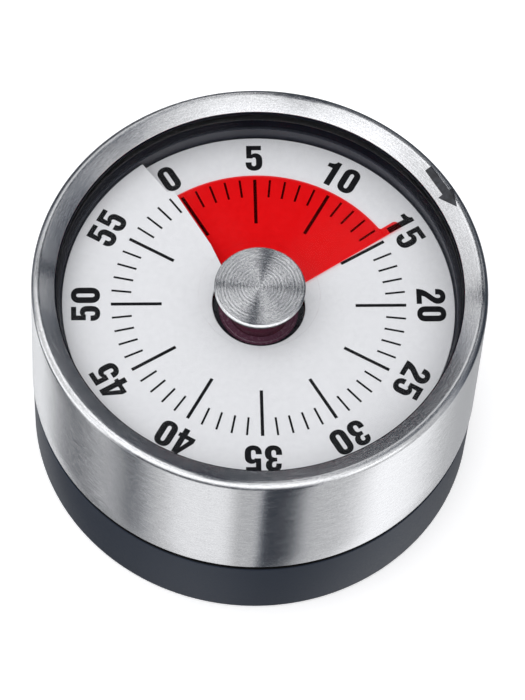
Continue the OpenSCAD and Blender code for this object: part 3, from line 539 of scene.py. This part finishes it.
def steel_ring():
    foot_r = RING_R - RING_DRAFT
    lean = 90 + math.degrees(LIP_SLOPE)
    slant = RING_WALL / math.cos(LIP_SLOPE)
    edge = rounded([(LIP_JOIN_R, LIP_JOIN_Z, 0), (OPEN_R, LIP_EDGE_Z, LIP_EDGE_ROUND),
                    (OPEN_R, LIP_EDGE_Z - slant, EASED),
                    (LIP_JOIN_R, LIP_JOIN_Z - slant, 0)])[1:-1]
    hem_z = SHELL_Z + HEM_H
    hem = rounded([(foot_r - RING_WALL, hem_z, 0), (foot_r - RING_WALL, SHELL_Z, 0.12),
                   (foot_r, SHELL_Z, HEM_ROUND), (foot_r + HEM_LEAN, hem_z, 0)])[1:-1]
    wall = [Vector((foot_r + RING_DRAFT * k / 6, SHELL_Z + (LIP_ZC - SHELL_Z) * k / 6)) for k in range(1, 6)]
    inner = arc(LIP_RC, LIP_ZC, LIP_ROUND - RING_WALL, lean, 0, 8)
    lathe("steel_shell", hem + wall + arc(LIP_RC, LIP_ZC, LIP_ROUND, 0, lean, 18) + edge + inner,
          STEEL, "grip", "steel_shell", ("steel_ring",))


def bezel_liner():
    land_r = LINER_R - LINER_LAND
    wall_r = LINER_R - LINER_WALL
    ramp = LINER_LAND - LINER_WALL
    upper = FLANGE_Z - FLANGE_T - LAND_H
    lower = LINER_Z + LAND_H
    lathe("bezel_liner_wall", rounded([
        (LINER_R, LINER_Z, SOFT), (LINER_R, GASKET_Z, EASED), (LINER_RIM_R, GASKET_Z, 0.12),
        (LINER_FLANGE_R, FLANGE_Z, 0.2), (land_r, FLANGE_Z, EASED), (land_r, upper, EASED),
        (wall_r, upper - ramp, EASED), (wall_r, lower + ramp, EASED), (land_r, lower, EASED),
        (land_r, LINER_Z, SOFT)]), LINER, "grip", "black_liner", ("bezel_liner",))
    seal_r = LINER_RIM_R + FIT
    lathe("window_seal", rounded([
        (GASKET_R, GASKET_Z, 0.08), (GASKET_R, LENS_Z, 0.08), (seal_r, LENS_Z, 0.08),
        (seal_r, GASKET_Z, 0.08)]), SEAL, "grip", "seal_rubber", ("lens_gasket",))


def window():
    # A black ring just under the lip's inner edge, set there to draw the thin dark line along that edge
    dark_ring_r, dark_ring_top = OPEN_R - DARK_RING_W, LIP_EDGE_Z - DARK_RING_DROP
    lathe("dark_lip_ring", rounded([
        (dark_ring_r, LENS_TOP, 0), (OPEN_R, LENS_TOP, 0), (OPEN_R, dark_ring_top, 0), (dark_ring_r, dark_ring_top, 0.08)]),
        LINER, "grip", "black_liner")
    boss_z = LENS_Z - LENS_BOSS_T
    pane = lathe("window_pane", rounded([
        (LENS_BORE_R, LENS_TOP, 0.05), (LENS_R, LENS_TOP, SOFT), (LENS_R, LENS_Z, EASED),
        (LENS_BOSS_R, LENS_Z, 0.12), (LENS_BOSS_R, boss_z, SOFT), (LENS_HUB_R, boss_z, SOFT),
        (LENS_HUB_R, LENS_HUB_Z, SOFT), (LENS_BORE_R, LENS_HUB_Z, EASED)]),
        WINDOW, "grip", "clear_window", ("lens",))
    # A ray passes few see-through faces, so the light that falls on the dial doesn't spend any here
    pane.visible_shadow = pane.visible_diffuse = False


def knob():
    """Turned cap: fine rings of uneven depth on its top, a bevelled edge and its pin."""
    face_r = KNOB_R - KNOB_BEVEL
    steps = KNOB_RINGS * 6
    top = []
    for k in range(1, steps):
        r = face_r * (1 - k / steps)
        depth = RING_DEPTH * (0.65 + 0.35 * math.sin(2.3 * r))
        top.append(Vector((r, KNOB_TOP - depth * (0.5 - 0.5 * math.cos(math.pi * k / 3)))))
    edge = rounded([(0, KNOB_Z, 0), (face_r, KNOB_Z, 0.08), (KNOB_R, KNOB_Z + KNOB_BEVEL, EASED),
                    (KNOB_R, KNOB_TOP - KNOB_BEVEL, 0.08), (face_r, KNOB_TOP, 0.06), (0, KNOB_TOP, 0)])[1:-1]
    pin = [Vector((0, KNOB_PIN_Z)), Vector((KNOB_PIN_R, KNOB_PIN_Z)), Vector((KNOB_PIN_R, KNOB_Z))]
    lathe("spun_cap", pin + edge + top + [Vector((0, KNOB_TOP))], SPUN, "grip", "spun_knob",
          ("knob_cap",))
    bore_r = KNOB_PIN_R + FIT
    lathe("cap_collar", rounded([
        (bore_r, COLLAR_Z, 0.03), (COLLAR_R, COLLAR_Z, 0.05), (COLLAR_R, KNOB_Z, 0.05),
        (bore_r, KNOB_Z, 0.03)]), COLLAR, "grip", "dark_collar", ("knob_collar",))


def turn_arrow():
    """Arrow printed on the lip: a straight shaft and head that follow the cone and its rounding."""
    outward, onward = spot(1, ARROW_AT, 0), spot(1, ARROW_AT + 90, 0)
    half_l, steps = ARROW_L / 2, 12
    shaft = [(-half_l + (ARROW_L - HEAD_L) * k / 12, SHAFT_W) for k in range(13)]
    head = [(half_l - HEAD_L + 0.02 + (HEAD_L - 0.02) * k / 8, HEAD_W + (TIP_W - HEAD_W) * k / 8)
            for k in range(9)]
    points = []
    for up in (PRINT_T, -PRINT_SINK):
        for s, width in shaft + head:
            for k in range(steps + 1):
                flat = outward * (ARROW_R + width * (k / steps - 0.5)) + onward * s
                flat.z = min(lip_z(flat.length) + up, RING_TOP)
                points.append(flat)
    piece("turn_arrow", points, slab_faces(len(shaft + head), steps + 1), ARROW_PRINT, "grip", "dark_collar")


# ---- Dial, its print and the red film ----

def on_dial(minute):
    """How print is set down on the dial: u runs across the minute's radius and v along it."""
    out, side = spot(1, 6 * minute, 0), spot(1, 6 * minute + 90, 0)

    def place(u, v, up):
        flat = out * v + side * u
        flat.z = DIAL_Z + DIAL_PITCH * (6 * minute + math.degrees(math.atan2(u, v))) / 360 + up
        return flat
    return place


def dial_plate():
    hole, *middle, rim = SLIT
    stations = [hole, (hole[0] + 0.1, hole[1] - 0.02), *middle]
    stations += [(DIAL_R - DIAL_EDGE, rim[1] - 0.05), (DIAL_R - DIAL_EDGE * 0.3, rim[1] - 0.02), rim]
    drops = [DIAL_EDGE / 2, 0, 0, 0, 0, 0, DIAL_EDGE * 0.3, DIAL_EDGE]
    starts = [-math.degrees(math.asin(side / r)) for r, side in stations]
    piece("dial_face", *screw_sheet([(r, d) for (r, _), d in zip(stations, drops)], starts,
                                    [a + 360 for a in starts], DIAL_Z, DIAL_T, 360),
          WHITE, "base", "dial_white", ("dial_plate",))


def minute_marks():
    shells = []
    for minute in range(60):
        major = minute % 5 == 0
        inner = TICK_MAJOR_IN if major else TICK_MINOR_IN
        half = (TICK_MAJOR_W if major else TICK_MINOR_W) / 2
        outline = [(-half, inner), (half, inner), (half, TICK_OUT), (-half, TICK_OUT)]
        shells.append(printed([outline], on_dial(minute)))
    piece("minute_marks", *joined(*shells), PRINT, "base", "dial_white", smooth=False)


def bow(x, y, rx, ry, start, end, steps=12):
    """Points on an ellipse's arc, a little squared as in a narrow poster face."""
    out = []
    for k in range(steps + 1):
        t = math.radians(start + (end - start) * k / steps)
        c, s = math.cos(t), math.sin(t)
        out.append((x + rx * math.copysign(abs(c) ** 0.92, c), y + ry * math.copysign(abs(s) ** 0.92, s)))
    return out


# Outlines of the digits, 5 mm tall, each with its holes after it
DIGITS = {
    "0": [bow(0, 1.05, 1.49, 1.45, 0, 180) + bow(0, -1.05, 1.49, 1.45, 180, 360),
          bow(0, 1.15, 0.36, 0.43, 0, 180) + bow(0, -1.15, 0.36, 0.43, 180, 360)],
    "1": [[(-0.24, -2.5), (0.86, -2.5), (0.86, 2.5), (0.06, 2.5), (-0.06, 2.16), (-0.3, 1.93), (-0.7, 1.78),
           (-1.24, 1.7), (-1.24, 0.95), (-0.24, 0.95)]],
    "2": [[(-1.48, -2.5), (1.48, -2.5), (1.48, -1.6), (-0.12, -1.6), (0.02, -1.15), (0.52, -0.52),
           (0.96, -0.03), (1.3, 0.45)]
          + bow(0.03, 1.1, 1.46, 1.4, -8, 180)
          + [(-1.43, 0.75), (-0.36, 0.75)]
          + bow(0, 1.2, 0.36, 0.4, 180, 0)
          + [(0.3, 0.85), (0.08, 0.5), (-0.53, -0.23), (-1.02, -0.85), (-1.33, -1.5), (-1.46, -2.1)]],
    "3": [[(-0.45, 0.95), (-1.36, 0.95)]
          + bow(0, 1.3, 1.35, 1.2, 180, -20)
          + [(1.12, 0.52), (0.8, 0.28), (1.15, 0.02), (1.38, -0.38)]
          + bow(0, -1.05, 1.47, 1.45, 5, -180)
          + [(-1.47, -0.68), (-0.43, -0.68)]
          + bow(-0.05, -1.2, 0.38, 0.4, 180, 360)
          + [(0.33, -0.68), (0.2, -0.32), (-0.1, -0.16), (-0.6, -0.14), (-0.6, 0.56), (-0.12, 0.58),
             (0.14, 0.72), (0.27, 1.0)]
          + bow(-0.07, 1.3, 0.35, 0.36, 0, 180)],
    "4": [[(0.12, -2.5), (1.15, -2.5), (1.15, -1.42), (1.54, -1.42), (1.54, -0.66), (1.15, -0.66),
           (1.15, 2.5), (-0.02, 2.5), (-1.5, -0.55), (-1.5, -1.42), (0.12, -1.42)],
          [(-0.62, -0.66), (0.17, -0.66), (0.17, 1.15)]],
    "5": [[(-1.35, 2.5), (1.24, 2.5), (1.24, 1.62), (-0.43, 1.62), (-0.47, 0.72), (-0.2, 0.92), (0.15, 1.0)]
          + bow(0.15, -0.3, 1.25, 1.3, 80, 0, 6)
          + bow(-0.05, -1.05, 1.45, 1.45, 0, -180)
          + [(-1.5, -0.82), (-0.46, -0.82)]
          + bow(-0.07, -1.2, 0.38, 0.4, 180, 360)
          + bow(-0.03, -0.25, 0.34, 0.42, 0, 180, 8)
          + [(-0.37, -0.02), (-1.35, -0.02)]],
}


def numerals():
    shells = []
    for minute in range(0, 60, 5):
        word = str(minute)
        for k, digit in enumerate(word):
            shift = NUMERAL_STEP * (k - (len(word) - 1) / 2)
            outlines = [[(x + shift, y + NUMERAL_R) for x, y in outline] for outline in DIGITS[digit]]
            shells.append(printed(outlines, on_dial(minute)))
    piece("numerals", *joined(*shells), PRINT, "base", "dial_white", smooth=False)


def lead_angle(r):
    return SHOWN - math.degrees(math.asin(LEAD_SKEW * (r - LEAD_CROSS_R) / r))


def film_root():
    """A dark purple-grey on the film around its hub that holds a painted reflection, with a fine raised line
    and a black rim that is painted shadow at the dial hole's edge.
    """
    start_r, line_r, shadow_rim_r, end_r = FILM_IN_R + FIT, 6.35, 6.85, DIAL_HOLE_R - 0.15
    line_w, line_h = 0.15, 0.08
    root = ((start_r, 0), (line_r - line_w, 0), (line_r, -line_h), (line_r + line_w, 0), (shadow_rim_r, 0))
    # The rim's black is painted shadow where the dial's hole edge meets the film
    rim = ((shadow_rim_r, 0), (end_r, 0))
    for name, stations, material in (("film_root", root, ROOT), ("hole_edge_painted_shadow", rim, COLLAR)):
        n = len(stations)
        sheet = screw_sheet(stations, [SHOWN - FILM_SPAN] * n, [SHOWN] * n, FILM_Z + PRINT_T,
                            PRINT_T + PRINT_SINK, 180)
        piece(name, *sheet, material, "film", "red_film")


def film():
    radii = [FILM_IN_R + (FILM_R - FILM_IN_R) * k / 6 for k in range(7)]
    sheet = screw_sheet([(r, 0) for r in radii], [SHOWN - FILM_SPAN] * 7, [lead_angle(r) for r in radii],
                        FILM_Z, FILM_T, 357)
    root = [(FILM_R + TAB_ROOT * k / 6, TAB_W + TAB_ROOT * (1 - k / 6) ** 2) for k in range(7)]
    tip = [(TAB_R - TAB_ROUND * (1 - math.sin(t)), TAB_W - TAB_ROUND * (1 - math.cos(t)))
           for t in (math.pi / 2 * k / 8 for k in range(9))]
    tab = root + tip
    ends = [lead_angle(r) for r, _ in tab]
    starts = [end - math.degrees(math.asin(width / r)) for (r, width), end in zip(tab, ends)]
    pointer = screw_sheet([(r, 0) for r, _ in tab], starts, ends, FILM_Z, FILM_T, 4)
    piece("red_sheet", *joined(sheet, pointer), FILM, "film", "red_film", ("red_film",))


# ---- Base ----

def base():
    wall_r = BASE_FOOT_R - BASE_WALL
    drum_in = DRUM_R - DRUM_WALL
    shell = turned(rounded([
        (wall_r, BASE_Z, EASED), (BASE_FOOT_R, BASE_Z, BASE_EDGE), (BASE_TOP_R, BASE_H, BASE_TOP_EDGE),
        (DRUM_R, BASE_H, SOFT), (DRUM_R, DRUM_TOP, SOFT), (drum_in, DRUM_TOP, SOFT), (drum_in, COVER_TOP, 0),
        (wall_r, COVER_TOP, 0)], 8))
    bosses = []
    for a in BOSS_DIRS:
        at = (BOSS_AT * math.cos(math.radians(a)), BOSS_AT * math.sin(math.radians(a)))
        bosses.append(turned([
            (0, COVER_TOP + SCREW_L), (BOSS_BORE_R, COVER_TOP + SCREW_L), (BOSS_BORE_R, COVER_TOP),
            (BOSS_R, COVER_TOP), (BOSS_R, DRUM_TOP), (BOSS_BORE_R, DRUM_TOP),
            (BOSS_BORE_R, DRUM_TOP - SCREW_L), (0, DRUM_TOP - SCREW_L)], BOSS_SEGMENTS, at))
    piece("base_shell", *joined(shell, *bosses), SLATE, "base", "base_plastic", ("base_housing",))


def glide_band():
    flange_r, flange_top = high("glide_ring").x, BASE_H + GLIDE_FLANGE_T
    ring_r, ring_top = LINER_R - FIT, high("glide_ring").z
    lathe("glide_band", rounded([
        (flange_r, BASE_H, EASED), (flange_r, flange_top, EASED), (ring_r, flange_top, EASED),
        (ring_r, ring_top, EASED), (DRUM_R + FIT, ring_top, EASED), (DRUM_R + FIT, BASE_H, EASED)]),
        GLIDE, "base", "black_liner", ("glide_ring",))


def foot_pad():
    outer_r, top = high("foot_ring").x, high("foot_ring").z
    inner_r = outer_r - FOOT_RING_W
    lathe("foot_pad", rounded([
        (outer_r, 0, FOOT_ROUND), (outer_r, top, 0.05), (inner_r, top, 0.05), (inner_r, 0, FOOT_ROUND)]),
        RUBBER, "base", "foot_rubber", ("foot_ring",))


def hammer_coil():
    """The hammer's return spring as wound wire, inside its CAD sleeve."""
    lowest, highest = low("hammer_spring"), high("hammer_spring")
    middle = (lowest + highest) / 2
    wire = 0.28
    coil_r = (highest.x - lowest.x) / 2 - wire
    turns, around, ring = 6, 40, 10
    rise = (highest.z - lowest.z - 2 * wire) / turns
    points, faces = [], []
    steps = turns * around
    for i in range(steps + 1):
        a = 2 * math.pi * i / around
        out = Vector((math.cos(a), math.sin(a), 0))
        centre = Vector((middle.x, middle.y, lowest.z + wire + rise * i / around)) + out * coil_r
        points += [centre + out * wire * math.cos(2 * math.pi * k / ring)
                   + Vector((0, 0, wire * math.sin(2 * math.pi * k / ring))) for k in range(ring)]
    for i in range(steps):
        here, there = i * ring, (i + 1) * ring
        for k in range(ring):
            n = (k + 1) % ring
            faces.append((here + k, here + n, there + n, there + k))
    faces += [tuple(range(ring)), tuple(range(steps * ring, steps * ring + ring))]
    piece("hammer_coil", points, faces, SPRING, "base", "spring_steel", ("hammer_spring",))


# ---- Finishes of the CAD nodes that stay ----

FINISHES = (
    (GROUND, ("main_arbor", "pillars", "second_arbor", "third_arbor", "escape_arbor", "balance_staff",
              "hammer_staff", "second_pinion", "third_pinion", "escape_pinion", "pallet_anchor",
              "bell_post")),
    (BRASS, ("spring_collet", "main_wheel", "release_cam", "spring_barrel", "second_wheel", "third_wheel",
             "escape_wheel", "hammer_head")),
    (SPRING, ("clutch_spring", "mainspring")),
    (PLATED, ("cover_screws", "carrier_screws", "mount_screws", "pillar_nuts", "bell_nut", "magnet_cup",
              "balance_wheel", "hammer_arm", "hammer_tail")),
    (PLATE, ("front_plate", "back_plate")),
    (NICKEL, ("bell",)),
    (HUB, ("film_hub",)),
    (CARRIER, ("dial_carrier",)),
    (COVER, ("base_cover",)),
    (MAGNET, ("magnet",)),
)


def finish_nodes():
    for material, names in FINISHES:
        for name in names:
            for slot in NODES[name].material_slots:
                slot.material = material


# ---- Studio ----

# Camera: place, then its rightward, upward and backward directions
CAMERA_AT = Vector((-270.42, -385.86, RING_TOP + 844.85)) * MM
CAMERA_AXES = ((0.852, -0.5224, 0.0346), (0.4456, 0.7583, 0.4758), (-0.2748, -0.3900, 0.8789))
CAMERA_LENS = 292.3                 # for a 36 mm long side

# The rest of the studio is in metres
FLOOR_R = 3.0
FLOOR_STEPS = 64
FLOOR_GLOW = 0.4                    # lifts the floor to white where the camera sees it
MIDDLE_Z = 0.03                     # height of the object's middle, which the lights aim at
AMBIENT = 0.86
TENT_R = 0.9
TENT_BASE = 0.58
TENT_SOFT = 0.3                     # width of a softbox's soft edge, as a share of its half size
TENT_LEAST = 0.05
TENT_MOST = 1.7
TENT_TONE = ((0.05, (0.62, 0.74, 1.0)), (0.3, (0.86, 0.91, 1.0)), (0.6, (0.97, 0.98, 1.0)))
# Softboxes add light and flags take it away: clock direction, height, half width, half height, light
TENT = (
    (180, 75, 180, 45, 0.3),
    (232, 43, 55, 25, 0.65),
    (293, -2, 21, 14, 0.95),
    (166, 8, 13, 13, 1.15),
    (237, -55, 16, 20, 0.5),
    (135, -63, 21, 17, 0.8),
    (197, -46, 9, 33, -0.75),
    (271, -49, 7, 15, -0.55),
    (311, -49, 12, 31, -0.8),
    (346, -65, 9, 20, 1.0),
    (74, -3, 51, 27, -0.65),
    (341, -6, 20, 18, -0.5),
    (228, -8, 31, 19, -0.8),
    (32, -31, 13, 11, 1.15),
    (56, 53, 18, 16, -1.25),
    (99, 40, 25, 11, -0.55),
    (122, 51, 26, 16, -0.2),
    (23, 18, 21, 15, -0.8),
    (56, 20, 18, 16, -0.5),
    (8, 70, 37, 16, 0.65),
    (106, 68, 33, 12, -0.6),
    (10, 82, 37, 12, 1.2),
    (45, 10, 55, 22, -0.8),
    (55, 34, 32, 9, 0.5),
)
# Narrow dark strips near STREAK_AT, the direction that the knob's face mirrors to the camera: clock
# direction across, offset, half width, light
STREAKS = ((132, -0.058, 0.042, -1.6), (34.6, 0.477, 0.018, -1.6))
STREAK_CLOCK = 35
STREAK_HEIGHT = math.radians(61.5)
STREAK_AT = spot(math.cos(STREAK_HEIGHT), STREAK_CLOCK, math.sin(STREAK_HEIGHT))
# Cosine of the angle from STREAK_AT where the strips have faded out, and where they are full
STREAK_FADE = (0.7, 0.86)


def camera():
    data = bpy.data.cameras.new("camera")
    data.lens = CAMERA_LENS
    data.sensor_width = 36
    data.clip_start, data.clip_end = 0.05, 20
    made = bpy.data.objects.new("camera", data)
    bpy.context.scene.collection.objects.link(made)
    axes = Matrix([Vector(a).normalized() for a in CAMERA_AXES]).transposed()
    made.matrix_world = Matrix.Translation(CAMERA_AT) @ axes.to_4x4()
    bpy.context.scene.camera = made


def set_apart(name, points, faces, material):
    """A piece of the studio."""
    mesh = bpy.data.meshes.new(name)
    mesh.from_pydata(points, [], faces)
    mesh.materials.append(material)
    made = bpy.data.objects.new(name, mesh)
    bpy.context.scene.collection.objects.link(made)
    return made


def floor():
    made = Shader("floor_white", (0.94, 0.94, 0.945), 0.9)
    grain = made.noise(made.place(), 40.0)
    made.link(made.ramp(grain, ((0.3, (0.93, 0.93, 0.935)), (0.7, (0.95, 0.95, 0.955)))),
              made.main.inputs["Base Color"])
    seen = made.node("ShaderNodeLightPath").outputs["Is Camera Ray"]
    glow = made.node("ShaderNodeEmission", Color=(1, 1, 1, 1),
                     Strength=made.calc("MULTIPLY", seen, FLOOR_GLOW))
    both = made.node("ShaderNodeAddShader", i0=made.main.outputs[0], i1=glow.outputs[0])
    made.link(both.outputs[0], made.output.inputs["Surface"])
    rim = [spot(FLOOR_R, -360 * k / FLOOR_STEPS, 0) for k in range(FLOOR_STEPS)]
    sheet = set_apart("floor", rim, [tuple(range(FLOOR_STEPS))], made.material)
    sheet.visible_glossy = False


def tent_light(made, way):
    """How bright the tent is in the direction way: its boxes and flags, then the strips."""
    height = made.calc("ARCSINE", made.node("ShaderNodeSeparateXYZ", i0=way).outputs[2])
    around = made.vector("NORMALIZE", made.vector("MULTIPLY", way, (1, 1, 0)))
    total = TENT_BASE
    for clock, middle, half_w, half_h, light in TENT:
        side = made.calc("ARCCOSINE", made.vector("DOT_PRODUCT", around, spot(1, clock, 0)))
        side = made.calc("DIVIDE", side, math.radians(half_w))
        rise = made.calc("ABSOLUTE", made.calc("SUBTRACT", height, math.radians(middle)))
        rise = made.calc("DIVIDE", rise, math.radians(half_h))
        away = made.calc("MAXIMUM", side, rise)
        total = made.calc("ADD", total, made.fade(away, 1 - TENT_SOFT, 1 + TENT_SOFT, light, 0.0))
    total = made.calc("MINIMUM", total, TENT_MOST)
    near = made.fade(made.vector("DOT_PRODUCT", way, STREAK_AT), *STREAK_FADE, 0.0, 1.0)
    for clock, offset, half_w, light in STREAKS:
        side = made.vector("DOT_PRODUCT", way, spot(1, clock, 0))
        away = made.calc("ABSOLUTE", made.calc("SUBTRACT", side, offset))
        share = made.fade(away, half_w * 0.5, half_w * 1.5, light, 0.0)
        total = made.calc("MULTIPLY_ADD", share, near, total)
    return made.calc("MAXIMUM", total, TENT_LEAST)


def tent():
    """What the metal mirrors: a round light tent with softboxes and flags."""
    made = Shader("tent", (1, 1, 1), 1.0)
    light = tent_light(made, made.vector("NORMALIZE", made.place()))
    glow = made.node("ShaderNodeEmission", Color=made.ramp(light, TENT_TONE), Strength=light)
    made.link(glow.outputs[0], made.output.inputs["Surface"])
    made.tree.nodes.remove(made.main)
    sphere = set_apart("light_tent", *turned(arc(0, 0, TENT_R, 90, -90, 24), 48), made.material)
    sphere.location.z = MIDDLE_Z
    sphere.visible_camera = False
    sphere.visible_diffuse = False
    sphere.visible_transmission = False
    sphere.visible_shadow = False


def world():
    made = bpy.data.worlds.new("studio")
    made.use_nodes = True
    tree = made.node_tree
    tree.nodes.clear()
    path = tree.nodes.new("ShaderNodeLightPath")
    seen = path.outputs["Is Camera Ray"]
    for ray in ("Is Glossy Ray", "Is Transmission Ray"):
        most = tree.nodes.new("ShaderNodeMath")
        most.operation = "MAXIMUM"
        tree.links.new(seen, most.inputs[0])
        tree.links.new(path.outputs[ray], most.inputs[1])
        seen = most.outputs[0]
    shown, light = tree.nodes.new("ShaderNodeBackground"), tree.nodes.new("ShaderNodeBackground")
    shown.inputs["Color"].default_value = (1, 1, 1, 1)
    light.inputs["Color"].default_value = (0.99, 0.99, 1, 1)
    light.inputs["Strength"].default_value = AMBIENT
    mix, out = tree.nodes.new("ShaderNodeMixShader"), tree.nodes.new("ShaderNodeOutputWorld")
    tree.links.new(seen, mix.inputs[0])
    tree.links.new(light.outputs[0], mix.inputs[1])
    tree.links.new(shown.outputs[0], mix.inputs[2])
    tree.links.new(mix.outputs[0], out.inputs[0])
    bpy.context.scene.world = made


def lamp(name, clock, height, distance, size, power):
    data = bpy.data.lights.new(name, "AREA")
    data.shape = "DISK"
    data.size = size
    data.energy = power
    made = bpy.data.objects.new(name, data)
    bpy.context.scene.collection.objects.link(made)
    way = spot(1, clock, 0) * math.cos(math.radians(height))
    way.z = math.sin(math.radians(height))
    made.location = way * distance + Vector((0, 0, MIDDLE_Z))
    made.rotation_euler = way.to_track_quat("Z", "Y").to_euler()
    made.visible_glossy = False


def studio():
    floor()
    tent()
    world()
    lamp("key_lamp", 300, 70, 0.9, 1.1, 2.6)
    bpy.context.scene.view_settings.view_transform = "Standard"


def main():
    camera()
    steel_ring()
    bezel_liner()
    window()
    knob()
    turn_arrow()
    dial_plate()
    minute_marks()
    numerals()
    film()
    film_root()
    base()
    glide_band()
    foot_pad()
    hammer_coil()
    finish_nodes()
    studio()


main()
